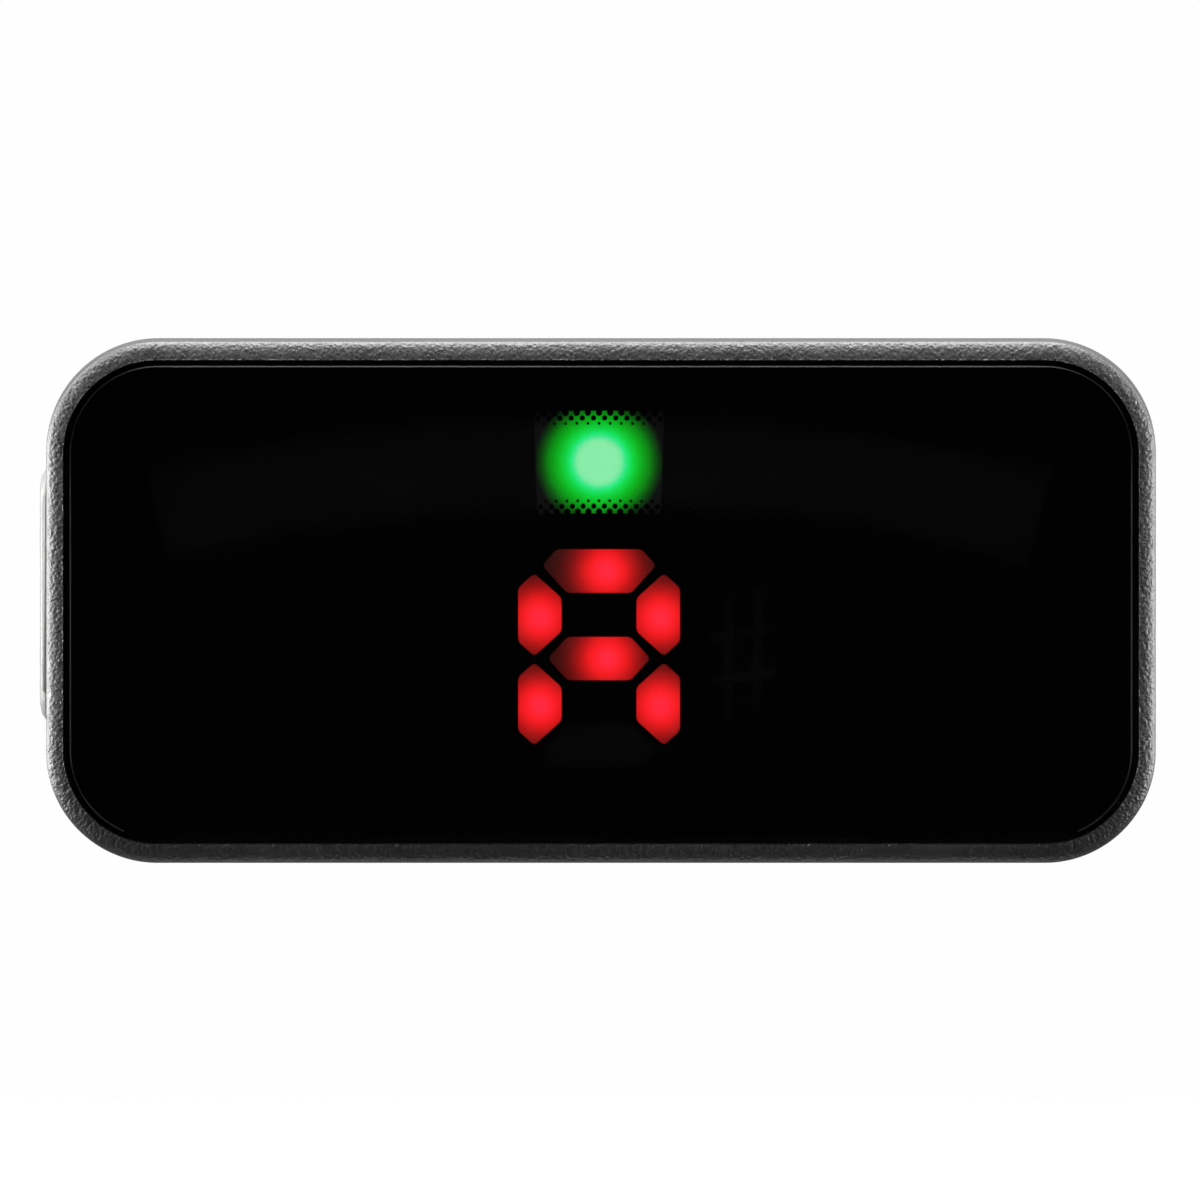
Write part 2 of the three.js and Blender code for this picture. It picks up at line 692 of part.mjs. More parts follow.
function jawBar() {
  const middle = JAW.thickness / 2;
  const bend = leverBend(middle);
  const start = bend.x - BEND_RADIUS * Math.tan(LEVER_SLOPE / 2);
  const from = -Math.PI / 2;
  const curve = arcPoints(start, bend.y + BEND_RADIUS, BEND_RADIUS, from, from + LEVER_SLOPE, 6);
  const path = [new THREE.Vector2(FRAME.left, bend.y), ...curve, leverPoint(26.1, middle)];
  const ease = 0.4;
  const options = {
    depth: 2 * (JAW.halfHeight - ease),
    bevelSize: ease,
    bevelThickness: ease,
    bevelOffset: -ease,
    bevelSegments: 2,
  };
  const bar = new THREE.ExtrudeGeometry(new THREE.Shape(strip(path, JAW.thickness)), options);
  return bar.translate(0, 0, -JAW.halfHeight + ease);
}

function jawLug(z0, z1) {
  const { x, y } = HINGE;
  const outline = [
    ...arcPoints(x, y, 2.8, Math.PI, 2 * Math.PI, 12),
    ...polygon([x + 2.8, JAW.front + 2.0], [x - 2.8, JAW.front + 0.6]),
  ];
  return prism('z', outline, z0, z1);
}

function movingJaw() {
  const halfLength = (FRAME.right - FRAME.left) / 2;
  const middle = (FRAME.right + FRAME.left) / 2;
  const plan = prism('y', roundedRect(halfLength, JAW.halfHeight + 0.02, 3.2, 6, middle, 0), 25, 60);
  const bar = solid(jawBar()).intersect(solid(plan));
  const lugs = [jawLug(2.3, 4.1), jawLug(-4.1, -2.3)].map(solid);
  const hole = solid(rod('z', HINGE.x, HINGE.y, HINGE.pin + RUNNING, -8, 8));
  return surface(bar.add(lugs[0]).add(lugs[1]).subtract(hole));
}

function fixedPad() {
  const from = FRAME.back + 0.02;
  const to = FRAME.back + PAD.thickness;
  return plate(PAD.halfLength, PAD.halfHeight, 2.2, PAD.x, 0, from, to, 0.3, false, true);
}

function movingPad() {
  const from = JAW.front - PAD.thickness;
  const to = JAW.front - 0.02;
  return plate(PAD.halfLength, PAD.halfHeight - 0.2, 2.2, PAD.x, 0, from, to, 0.3, true, false);
}

function ribbedGrip(halfLength, halfHeight, thickness) {
  const slab = plate(halfLength, halfHeight, 1.6, 0, 0, 0, thickness, 0.2, false, true);
  const grooves = [];
  for (let k = -2; k <= 2; k += 1) {
    grooves.push(box(1.7 * k - 0.3, 1.7 * k + 0.3, thickness - 0.3, thickness + 1, -4.2, 4.2));
  }
  return build([slab], grooves);
}

function fingerGrip() {
  const geometry = ribbedGrip(4.6, 5.2, 0.7);
  return geometry.rotateZ(Math.PI).translate(20.6, FRAME.front - 0.02, 0);
}

function thumbGrip() {
  const middle = leverPoint(20.6, JAW.thickness + 0.03);
  return ribbedGrip(4.6, 5.2, 0.8).rotateZ(LEVER_SLOPE).translate(middle.x, middle.y, 0);
}

function jawPin() {
  const { pin } = HINGE;
  return turned('z', [HINGE.x, HINGE.y, 0], [
    [0, -7.1],
    [pin - 0.2, -7.1],
    [pin, -6.95],
    [pin, -6.78],
    [pin - 0.3, -6.78],
    [pin - 0.3, -6.38],
    [pin, -6.38],
    [pin, 6.25],
    [1.7, 6.25],
    [1.7, 6.7],
    [1.4, 7.0],
    [0, 7.0],
  ]);
}

function coilPoint(angle, share) {
  const x = HINGE.x + WIRE.coil * Math.cos(angle);
  const y = HINGE.y + WIRE.coil * Math.sin(angle);
  return new THREE.Vector3(x, y, WIRE.halfLength * (2 * share - 1));
}

function torsionSpring() {
  const stand = WIRE.radius + 0.06;
  const first = -THREE.MathUtils.degToRad(94.7);
  const last = THREE.MathUtils.degToRad(117) - 2 * Math.PI * WIRE.turns;
  const points = [new THREE.Vector3(17.5, FRAME.back + stand, -WIRE.halfLength)];
  const steps = 80;
  for (let k = 0; k <= steps; k += 1) {
    const share = k / steps;
    points.push(coilPoint(first + (last - first) * share, share));
  }
  const tip = leverPoint(18, -stand / Math.cos(LEVER_SLOPE));
  points.push(new THREE.Vector3(tip.x, tip.y, WIRE.halfLength));
  return wire(points, WIRE.radius, 104, 6);
}

// ---------------------------------------------------------------- assembly

const FINISHES = {
  shell: { color: 0x121212, roughness: 0.6 },
  lens: { color: 0x050505, roughness: 0.05 },
  film: { color: 0x0a0a0a, roughness: 0.5 },
  white: { color: 0xe8e8e4, roughness: 0.6 },
  board: { color: 0x14532d, roughness: 0.5 },
  chip: { color: 0xd8d8c8, roughness: 0.4 },
  green: { color: 0x30ff50, roughness: 0.4 },
  red: { color: 0xff2020, roughness: 0.4 },
  dark: { color: 0x1b1b1d, roughness: 0.5 },
  button: { color: 0x3a3a3c, roughness: 0.5 },
  steel: { color: 0xb8bcc2, roughness: 0.35, metalness: 1 },
  brass: { color: 0xc9a24a, roughness: 0.35, metalness: 1 },
  rubber: { color: 0x202022, roughness: 0.9 },
  redWire: { color: 0xb02020, roughness: 0.5 },
  blackWire: { color: 0x101010, roughness: 0.5 },
};

const part = new THREE.Group();
part.name = 'clip_on_tuner';

function add(name, geometry, finish) {
  geometry.translate(-ORIGIN.x, -ORIGIN.y, -ORIGIN.z);
  const mesh = new THREE.Mesh(geometry, new THREE.MeshStandardMaterial(FINISHES[finish]));
  mesh.name = name;
  part.add(mesh);
}

add('front_bezel', frontBezel(), 'shell');
add('display_lens', displayLens(), 'lens');
add('mask_film', maskFilm(), 'film');
add('diffuser_sheet', diffuserSheet(), 'white');
add('light_box', lightBox(), 'white');
add('circuit_board', circuitBoard(), 'board');

for (let k = 0; k < METER.count; k += 1) {
  const { x, z } = meterCentre(k);
  add(`meter_led_${k + 1}`, chip(x, z, false), k === (METER.count - 1) / 2 ? 'green' : 'chip');
}

Object.entries(DIGIT_CHIPS).forEach(([name, [x, z, upright]]) => {
  add(`digit_led_${name}`, chip(DIGIT.x + x, DIGIT.z + z, upright), name === 'bottom' ? 'chip' : 'red');
});
add('sharp_led', chip(SHARP.x, SHARP.z, true), 'chip');

add('microcontroller', boardPart(-13.5, -5.6, 3.5, 3.5, 1.0), 'dark');
add('crystal', boardPart(-3.4, 6.6, 2.4, 1.1, 0.9), 'steel');
add('power_switch', powerSwitch(), 'dark');
add('switch_plunger', switchPlunger(), 'white');
add('power_button', powerButton(), 'button');
add('battery_cell', batteryCell(), 'steel');
add('battery_contact_pos', positiveContact(), 'brass');
add('battery_contact_neg', negativeContact(), 'brass');
add('piezo_plate', rod('y', -13, 0, 5.5, 9.62, 9.82, 32), 'brass');
add('piezo_ceramic', rod('y', -13, 0, 3.8, 9.38, 9.6, 28), 'white');
add('piezo_lead_signal', piezoLead([-13, 9.1, 1], [-17.5, 7.9, 4], [-19, 5.75, 7]), 'redWire');
add('piezo_lead_ground', piezoLead([-8.4, 9.3, 0.6], [-7.6, 7.6, 3], [-12, 5.75, 7.4]), 'blackWire');

add('rear_cover', rearCover(), 'shell');
add('battery_hatch', batteryHatch(), 'shell');
add('case_screw_1', caseScrew(-1, -1, SCREW_SEAT.left), 'steel');
add('case_screw_2', caseScrew(-1, 1, SCREW_SEAT.left), 'steel');
add('case_screw_3', caseScrew(1, -1, SCREW_SEAT.right), 'steel');
add('case_screw_4', caseScrew(1, 1, SCREW_SEAT.right), 'steel');

add('tilt_screw', tiltScrew(), 'steel');
add('tilt_nut', tiltNut(), 'steel');
add('tilt_washer_left', washer('x', TILT.y, 0, 1.25, 2.6, -3.35, -3.0), 'white');
add('tilt_washer_right', washer('x', TILT.y, 0, 1.25, 2.6, 3.0, 3.35), 'white');
add('neck', neck(), 'shell');
add('swivel_washer', washer('y', 0, 0, 1.4, 5.5, 24.65, 24.95), 'white');
add('swivel_screw', swivelScrew(), 'steel');

add('clip_frame', clipFrame(), 'shell');
add('fixed_pad', fixedPad(), 'rubber');
add('finger_grip', fingerGrip(), 'rubber');
add('jaw_pin', jawPin(), 'steel');
add('pin_retainer', washer('z', HINGE.x, HINGE.y, 0.78, 2.0, -6.7, -6.45), 'steel');
add('torsion_spring', torsionSpring(), 'steel');
add('moving_jaw', movingJaw(), 'shell');
add('moving_pad', movingPad(), 'rubber');
add('thumb_grip', thumbGrip(), 'rubber');

export default part;
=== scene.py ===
"""Clip on tuner: the looks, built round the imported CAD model.

Meshes are drawn in millimetres from the middle of the display rim's crest (X across the head,
Y towards the clip, Z up), then set down in the frame's own place and in metres.
"""

import json
import math

import bmesh
import bpy
from mathutils import Matrix, Vector, noise
from mathutils.geometry import tessellate_polygon


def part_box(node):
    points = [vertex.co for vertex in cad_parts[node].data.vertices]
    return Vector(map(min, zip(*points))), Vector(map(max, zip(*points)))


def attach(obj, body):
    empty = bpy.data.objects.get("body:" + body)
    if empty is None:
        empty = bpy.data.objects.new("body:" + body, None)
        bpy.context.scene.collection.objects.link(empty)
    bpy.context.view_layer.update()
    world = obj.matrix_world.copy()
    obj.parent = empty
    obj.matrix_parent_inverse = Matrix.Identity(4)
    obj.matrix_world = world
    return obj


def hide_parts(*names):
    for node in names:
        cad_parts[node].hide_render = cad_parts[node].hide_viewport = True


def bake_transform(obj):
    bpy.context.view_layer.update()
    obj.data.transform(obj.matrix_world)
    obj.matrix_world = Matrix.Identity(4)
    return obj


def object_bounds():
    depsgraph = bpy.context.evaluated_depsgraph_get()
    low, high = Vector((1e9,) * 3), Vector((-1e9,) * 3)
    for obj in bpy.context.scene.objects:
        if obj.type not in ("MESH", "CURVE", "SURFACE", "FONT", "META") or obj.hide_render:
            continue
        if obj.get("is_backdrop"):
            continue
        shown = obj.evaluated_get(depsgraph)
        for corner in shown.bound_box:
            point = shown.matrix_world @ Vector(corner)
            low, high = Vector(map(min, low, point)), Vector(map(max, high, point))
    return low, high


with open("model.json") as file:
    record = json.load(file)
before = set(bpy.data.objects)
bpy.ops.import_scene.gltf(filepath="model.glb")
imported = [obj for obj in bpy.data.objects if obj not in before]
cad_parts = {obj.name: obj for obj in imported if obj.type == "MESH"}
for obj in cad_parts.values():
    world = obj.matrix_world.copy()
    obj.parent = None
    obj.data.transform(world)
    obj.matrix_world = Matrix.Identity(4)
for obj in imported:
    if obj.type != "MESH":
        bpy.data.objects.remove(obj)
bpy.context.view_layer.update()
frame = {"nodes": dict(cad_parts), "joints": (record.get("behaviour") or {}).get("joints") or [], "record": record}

# ---------------------------------------------------------------- places and sizes, in millimetres

MM = 0.001
RIM_LOW, RIM_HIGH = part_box("front_bezel")
DRAWN_ORIGIN = Vector(((RIM_LOW.x + RIM_HIGH.x) / 2, RIM_LOW.y, (RIM_LOW.z + RIM_HIGH.z) / 2))
TO_ROW = Matrix.Translation(DRAWN_ORIGIN) @ Matrix.Scale(MM, 4)
TO_DRAWN = TO_ROW.inverted()


def drawn_box(node):
    """The lowest and highest corner of a CAD node, in drawn millimetres."""
    low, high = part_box(node)
    return TO_DRAWN @ low, TO_DRAWN @ high


def drawn_centre(node):
    low, high = drawn_box(node)
    return (low + high) / 2


HEAD_HALF_W = (RIM_HIGH.x - RIM_LOW.x) / 2 / MM
HEAD_HALF_H = (RIM_HIGH.z - RIM_LOW.z) / 2 / MM
PARTING = (RIM_HIGH.y - RIM_LOW.y) / MM
HEAD_CORNER = 5.86
WALL = 1.2
BEAD = {
    "outer_w": 28.93,
    "outer_h": 13.6,
    "inner_w": 28.03,
    "inner_h": 12.6,
    "depth": 0.6,
    "lip": 0.05,
    "start": 14,
}
LEDGE = {"half_w": 26.2, "half_h": 11.0, "front": 1.62, "back": 2.4}
GRAIN = {"spacing": 0.06, "height": 0.06, "size": 0.13}

BUTTON = {"y": 4.7, "z": 0.35, "half_length": 6.55, "half_depth": 1.5}
METER = {"radius": 95.0, "pitch": 6.64, "height": 5.34, "count": 7}
HALFTONE = {"pitch": 0.568, "rows": ((2.02, 0.08), (2.3, 0.145), (2.575, 0.175))}
DIGIT = {"tip_x": 2.97, "tip_z": 4.86, "side_x": 3.38, "outer": 0.84, "inner": 1.43}
DIGIT_MIDDLE = {"tip_x": 2.67, "half": 1.13}
DIGIT_UPPER = (0.13, 4.44)
DIGIT_LOWER = (-4.52, -0.21)
BAR_BEVEL = 0.9
SHARP = {"bar": 0.42, "half_gap": 0.75, "half_w": 1.7, "half_h": 3.2, "slant": 0.3, "row": 1.15}
WIRE = {"radius": 0.3, "coil": 1.9, "half_length": 1.6, "turns": 5, "start": -94.7, "end": 117}
FOOT_X, TIP_X = 17.5, 18.0
LEG_STEPS = 12
LEVER_SLOPE = math.radians(22.5)
LEVER_REACH = 3.2
SLABS = {
    "finger_grip": {"size": (4.6, 5.2, 0.7), "corner": 1.6, "ease": 0.2, "turn": 180.0},
    "thumb_grip": {"size": (4.6, 5.2, 0.8), "corner": 1.6, "ease": 0.2, "turn": 22.5},
    "fixed_pad": {"size": (5.5, 6.0, 1.98), "corner": 2.2, "ease": 0.35, "turn": 0.0},
    "moving_pad": {"size": (5.5, 5.8, 1.98), "corner": 2.2, "ease": 0.35, "turn": 180.0},
}
SLAB_GROOVE = {"count": 5, "pitch": 1.7, "half_width": 0.32, "depth": 0.3}
HATCH_GROOVE = {"count": 5, "pitch": 1.3, "first": 18.8, "half_width": 0.3, "half_length": 5.5, "depth": 0.3}
TWELFTHS = [math.tau * k / 12 for k in range(12)]

BODIES = frame["record"]["behaviour"]["bodies"]
BODY_OF = {node: body for body, nodes in BODIES.items() for node in nodes}
SLOT_OF = {part["node"]: part["material_slot"] for part in frame["record"]["subparts"]}


# ---------------------------------------------------------------- materials


def grey(value):
    return (value, value, value, 1.0)


class Paint:
    """One material, with short calls for the nodes that these looks share. Lengths are in millimetres."""

    def __init__(self, name):
        self.material = bpy.data.materials.new(name)
        self.material.use_nodes = True
        self.tree = self.material.node_tree
        self.shader = self.tree.nodes["Principled BSDF"]
        place = self.node("ShaderNodeTexCoord").outputs["Object"]
        self.place = self.vector("SCALE", place, scale=1 / MM)

    def node(self, kind, **settings):
        made = self.tree.nodes.new(kind)
        for key, value in settings.items():
            setattr(made, key, value)
        return made

    def feed(self, socket, value):
        if isinstance(value, bpy.types.NodeSocket):
            self.tree.links.new(value, socket)
        else:
            socket.default_value = value

    def set(self, **values):
        for key, value in values.items():
            self.feed(self.shader.inputs[key.replace("_", " ")], value)
        return self

    def vector(self, operation, first, second=(0, 0, 0), scale=1.0):
        made = self.node("ShaderNodeVectorMath", operation=operation)
        self.feed(made.inputs[0], first)
        if operation == "SCALE":
            self.feed(made.inputs["Scale"], scale)
        elif operation != "LENGTH":
            self.feed(made.inputs[1], second)
        return made.outputs["Value" if operation in ("LENGTH", "DOT_PRODUCT") else "Vector"]

    def math(self, operation, first, second=0.0):
        made = self.node("ShaderNodeMath", operation=operation)
        self.feed(made.inputs[0], first)
        self.feed(made.inputs[1], second)
        return made.outputs[0]

    def drawn_place(self):
        """The surface point in drawn millimetres."""
        return self.vector("SUBTRACT", self.place, tuple(DRAWN_ORIGIN / MM))

    def stretched(self, x=1.0, y=1.0, z=1.0):
        return self.vector("MULTIPLY", self.place, (x, y, z))

    def noise(self, per_mm, detail=3.0, roughness=0.55, place=None):
        made = self.node("ShaderNodeTexNoise")
        self.feed(made.inputs["Vector"], place or self.place)
        self.feed(made.inputs["Scale"], per_mm)
        self.feed(made.inputs["Detail"], detail)
        self.feed(made.inputs["Roughness"], roughness)
        return made.outputs["Fac"]

    def cells(self, per_mm, feature="SMOOTH_F1", place=None):
        made = self.node("ShaderNodeTexVoronoi", feature=feature)
        self.feed(made.inputs["Vector"], place or self.place)
        self.feed(made.inputs["Scale"], per_mm)
        return made.outputs["Distance"]

    def span(self, value, low, high, new_low, new_high):
        made = self.node("ShaderNodeMapRange")
        for socket, number in zip(made.inputs, (value, low, high, new_low, new_high)):
            self.feed(socket, number)
        return made.outputs["Result"]

    def ramp(self, factor, stops, easing="LINEAR"):
        made = self.node("ShaderNodeValToRGB")
        made.color_ramp.interpolation = easing
        elements = made.color_ramp.elements
        while len(elements) < len(stops):
            elements.new(1.0)
        for element, (position, colour) in zip(elements, stops):
            element.position = position
            element.color = colour
        self.feed(made.inputs["Fac"], factor)
        return made.outputs["Color"]

    def bump(self, height, depth, strength=1.0):
        """Depth is how far the surface rises, in millimetres, as height goes from 0 to 1."""
        made = self.node("ShaderNodeBump")
        self.feed(made.inputs["Height"], height)
        self.feed(made.inputs["Strength"], strength)
        self.feed(made.inputs["Distance"], depth * MM)
        return made.outputs["Normal"]


def shaded(colour, share):
    return tuple(channel * share for channel in colour[:3]) + (1.0,)


SHELL_TINT = 0.01
# Painted light: the rim's bead is painted this much paler than the shell.
RIM_PAINTED_LIGHT_TINT = 0.024


def moulded(name, colour, roughness, grain=5.0, depth=0.012, shine=0.5):
    """Moulded plastic or rubber: slow mottling, a fine grain and patchy gloss."""
    paint = Paint(name)
    mottle = paint.noise(0.25, 4.0)
    pebbles = paint.math("ADD", paint.cells(grain), paint.noise(grain * 1.6, 4.0))
    tint = paint.ramp(mottle, [(0.3, shaded(colour, 0.82)), (0.7, shaded(colour, 1.2))])
    gloss = paint.span(paint.noise(1.1, 5.0), 0.3, 0.7, roughness - 0.05, roughness + 0.07)
    bump = paint.bump(pebbles, depth)
    return paint.set(Base_Color=tint, Roughness=gloss, Normal=bump, Specular_IOR_Level=shine)


def metal(name, colour, roughness, brushed=(1.0, 1.0, 1.0), depth=0.004):
    """Plated or sheet metal: fine directional scratches, cloudy plating and a few dull spots."""
    paint = Paint(name)
    scratches = paint.noise(6.0, 5.0, 0.7, paint.stretched(*brushed))
    cloud = paint.noise(0.6, 4.0)
    tint = paint.ramp(cloud, [(0.3, shaded(colour, 0.8)), (0.7, shaded(colour, 1.05))])
    gloss = paint.span(scratches, 0.25, 0.75, roughness - 0.1, roughness + 0.14)
    bump = paint.bump(scratches, depth)
    return paint.set(Base_Color=tint, Metallic=1.0, Roughness=gloss, Normal=bump)


def board_paint():
    """Green solder mask over copper tracks, with rows of tinned pads."""
    paint = Paint("board")
    tracks = paint.cells(0.7, "DISTANCE_TO_EDGE", paint.vector("SNAP", paint.place, (0.35, 0.35, 0.35)))
    raised = paint.span(tracks, 0.02, 0.06, 1.0, 0.0)
    tint = paint.ramp(raised, [(0.0, (0.012, 0.1, 0.035, 1)), (1.0, (0.03, 0.2, 0.07, 1))])
    weave = paint.noise(4.0, 2.0)
    gloss = paint.span(weave, 0.3, 0.7, 0.3, 0.42)
    return paint.set(Base_Color=tint, Roughness=gloss, Normal=paint.bump(raised, 0.03))


def clear_paint():
    """The polished face of the display window."""
    paint = Paint("window_clear")
    wipe = paint.noise(0.12, 3.0)
    gloss = paint.span(wipe, 0.3, 0.8, 0.004, 0.016)
    tint = paint.ramp(wipe, [(0.3, grey(0.97)), (0.7, grey(1.0))])
    return paint.set(Base_Color=tint, Roughness=gloss, Transmission_Weight=1.0, IOR=1.49)


def edge_highlight_paint():
    """Painted highlight: the rounded front edge of the display window, painted pale and opaque for the light it
    reflects from the side lights.
    """
    paint = Paint("window_edge_painted_highlight")
    speck = paint.noise(8.0, 3.0)
    tint = paint.ramp(speck, [(0.3, grey(0.24)), (0.7, grey(0.34))])
    gloss = paint.span(speck, 0.3, 0.7, 0.3, 0.42)
    return paint.set(Base_Color=tint, Roughness=gloss, Specular_IOR_Level=0.5)


def painted_light_rim_paint():
    """The shell's plastic, painted paler on the grained bead: painted light for the light the bead catches. Behind
    the bead it fades to the shell's own tint.
    """
    paint = moulded("shell_rim_painted_light", grey(RIM_PAINTED_LIGHT_TINT), 0.42, 7.0, 0.018)
    tint = paint.shader.inputs["Base Color"].links[0].from_socket
    level = paint.vector("DOT_PRODUCT", paint.drawn_place(), (0, 1, 0))
    share = paint.span(level, BEAD["depth"], 2.0, 1.0, SHELL_TINT / RIM_PAINTED_LIGHT_TINT)
    return paint.set(Base_Color=paint.vector("SCALE", tint, scale=share))


def recess_painted_shade():
    """Painted shade: the channel between the rim and the window, painted near black for the shade of the deep gap,
    where hardly any light comes back out.
    """
    paint = Paint("recess")
    speck = paint.noise(6.0, 3.0)
    tint = paint.ramp(speck, [(0.3, grey(0.0008)), (0.7, grey(0.0016))])
    gloss = paint.span(speck, 0.3, 0.7, 0.7, 0.85)
    return paint.set(Base_Color=tint, Roughness=gloss, Specular_IOR_Level=0.05)


def print_paint():
    """Flat black ink."""
    paint = Paint("print")
    speck = paint.noise(12.0, 3.0)
    tint = paint.ramp(speck, [(0.3, grey(0.0006)), (0.7, grey(0.0012))])
    gloss = paint.span(speck, 0.3, 0.7, 0.62, 0.8)
    return paint.set(Base_Color=tint, Roughness=gloss, Specular_IOR_Level=0.0)


def unlit_paint():
    """A window with its lamp off: smoked ink that is barely lighter than the print round it."""
    paint = Paint("window_unlit")
    speck = paint.noise(10.0, 3.0)
    tint = paint.ramp(speck, [(0.3, grey(0.003)), (0.7, grey(0.0042))])
    gloss = paint.span(speck, 0.3, 0.7, 0.5, 0.62)
    return paint.set(Base_Color=tint, Roughness=gloss, Specular_IOR_Level=0.02)


# A lit window's red, green and blue light: how bright each is in front of the lamp, how far out
# it has halved, in millimetres, and how steeply it falls there. No light comes from past reach.
GREEN_GLOW = {"light": ((0.25, 1.25, 16.0), (0.85, 2.2, 5.5), (0.4, 1.45, 9.0)), "reach": 3.35}
RED_GLOW = {"light": ((1.0, 1.4, 4.8), (0.018, 0.75, 2.6), (0.048, 0.6, 3.0)), "reach": 5.0}
GLOW_EDGE = 0.78
LENS_LOSS = 1.08


def glow_paint(name, centre, glow):
    """A lit window: brightest in front of its lamp, at centre, and fading with distance from it."""
    paint = Paint(name)
    local = paint.vector("SUBTRACT", paint.drawn_place(), centre)
    across = paint.vector("LENGTH", paint.vector("MULTIPLY", local, (1, 0, 1)))
    ripple = paint.math("MULTIPLY", paint.math("SUBTRACT", paint.noise(3.5, 3.0), 0.5), 0.12)
    distance = paint.math("MAXIMUM", paint.math("ADD", across, ripple), 0.0)
    colour = paint.node("ShaderNodeCombineColor")
    for channel, (level, half, steepness) in zip(colour.inputs, glow["light"]):
        rise = paint.math("POWER", paint.math("DIVIDE", distance, half), steepness)
        paint.feed(channel, paint.math("DIVIDE", level, paint.math("ADD", rise, 1.0)))
    edge = paint.span(distance, GLOW_EDGE * glow["reach"], glow["reach"], 1.0, 0.0)
    return paint.set(
        Base_Color=grey(0.01),
        Roughness=0.5,
        Specular_IOR_Level=0.1,
        Emission_Color=paint.vector("SCALE", colour.outputs["Color"], scale=edge),
        Emission_Strength=LENS_LOSS,
    )


PAINTS = {
    "shell": moulded("shell", grey(SHELL_TINT), 0.42, shine=0.36),
    "film": print_paint(),
    "diffuser": moulded("diffuser", (0.8, 0.8, 0.78, 1), 0.5, 8.0, 0.004),
    "reflector": moulded("reflector", (0.84, 0.84, 0.82, 1), 0.45, 3.0, 0.006),
    "board": board_paint(),
    "led_green": moulded("lamp_green", (0.1, 0.8, 0.3, 1), 0.3, 6.0, 0.004),
    "led_red": moulded("lamp_red", (0.8, 0.06, 0.06, 1), 0.3, 6.0, 0.004),
    "led_off": moulded("lamp_off", (0.7, 0.68, 0.5, 1), 0.35, 6.0, 0.004),
    "chip_black": moulded("package", (0.02, 0.02, 0.022, 1), 0.55, 6.0, 0.01),
    "plunger": moulded("plunger", (0.62, 0.6, 0.52, 1), 0.5, 4.0, 0.006),
    "button": moulded("button", (0.12, 0.117, 0.117, 1), 0.45, 5.0, 0.006),
    "cell": metal("cell", (0.72, 0.72, 0.71, 1), 0.3, (1.0, 1.0, 0.12)),
    "can": metal("can", (0.72, 0.72, 0.72, 1), 0.25, (0.2, 1.0, 1.0)),
    "contact": metal("contact", (0.74, 0.72, 0.66, 1), 0.28, (0.15, 1.0, 1.0)),
    "brass": metal("brass", (0.72, 0.5, 0.2, 1), 0.3, (0.15, 1.0, 1.0)),
    "ceramic": moulded("ceramic", (0.75, 0.75, 0.72, 1), 0.35, 5.0, 0.004),
    "wire_red": moulded("wire_red", (0.5, 0.03, 0.03, 1), 0.45, 4.0, 0.006),
    "wire_black": moulded("wire_black", (0.02, 0.02, 0.02, 1), 0.45, 4.0, 0.006),
    "steel": metal("steel", (0.6, 0.61, 0.62, 1), 0.28, (1.0, 0.2, 1.0)),
    "nylon": moulded("nylon", (0.66, 0.65, 0.6, 1), 0.4, 5.0, 0.006),
    "pad": moulded("pad", (0.016, 0.016, 0.0165, 1), 0.78, 6.0, 0.02),
}


# ---------------------------------------------------------------- mesh building


def mesh_object(name, points, faces):
    mesh = bpy.data.meshes.new(name)
    mesh.from_pydata([tuple(point) for point in points], [], [tuple(face) for face in faces])
    made = bpy.data.objects.new(name, mesh)
    bpy.context.scene.collection.objects.link(made)
    return made


def edited(obj, work):
    """Opens the object's mesh as a bmesh, does the work on it and puts it back."""
    bm = bmesh.new()
    bm.from_mesh(obj.data)
    work(bm)
    bm.to_mesh(obj.data)
    bm.free()
    obj.data.update()
    return obj


def face_out(obj):
    return edited(obj, lambda bm: bmesh.ops.recalc_face_normals(bm, faces=bm.faces))


def applied(obj):
    """Turns the object's modifiers into its mesh."""
    graph = bpy.context.evaluated_depsgraph_get()
    old = obj.data
    obj.data = bpy.data.meshes.new_from_object(obj.evaluated_get(graph), depsgraph=graph)
    obj.modifiers.clear()
    bpy.data.meshes.remove(old)
    return obj


def eased(obj, width, segments=3, angle=35.0):
    """Rounds every edge that is sharper than the angle."""
    made = obj.modifiers.new("ease", "BEVEL")
    made.width = width
    made.segments = segments
    made.limit_method = "ANGLE"
    made.angle_limit = math.radians(angle)
    made.use_clamp_overlap = True
    made.miter_outer = "MITER_ARC"
    return applied(obj)


def weighted(obj):
    """Lets the large faces set the shading, so that flat faces look flat."""
    made = obj.modifiers.new("weighted", "WEIGHTED_NORMAL")
    made.keep_sharp = True
    return obj


def combined(obj, others, operation):
    """A boolean of the object with each of the others, which are used up."""
    for other in others:
        made = obj.modifiers.new("cut", "BOOLEAN")
        made.operation = operation
        made.solver = "EXACT"
        made.object = other
        applied(obj)
        bpy.data.objects.remove(other)
    return obj


def smoothed(obj, angle=35.0):
    obj.data.shade_smooth()
    obj.data.set_sharp_from_angle(angle=math.radians(angle))
    return obj


def loft(name, rings, joined=False):
    """A skin over matching rings of points, closed on itself or capped at both ends."""
    count = len(rings[0])
    points = [point for ring in rings for point in ring]
    bands = len(rings) if joined else len(rings) - 1
    faces = []
    for band in range(bands):
        here = band * count
        there = (band + 1) % len(rings) * count
        for k in range(count):
            after = (k + 1) % count
            faces.append((here + k, here + after, there + after, there + k))
    if not joined:
        faces.append(range(count))
        faces.append(range((len(rings) - 1) * count, len(rings) * count))
    return face_out(mesh_object(name, points, faces))


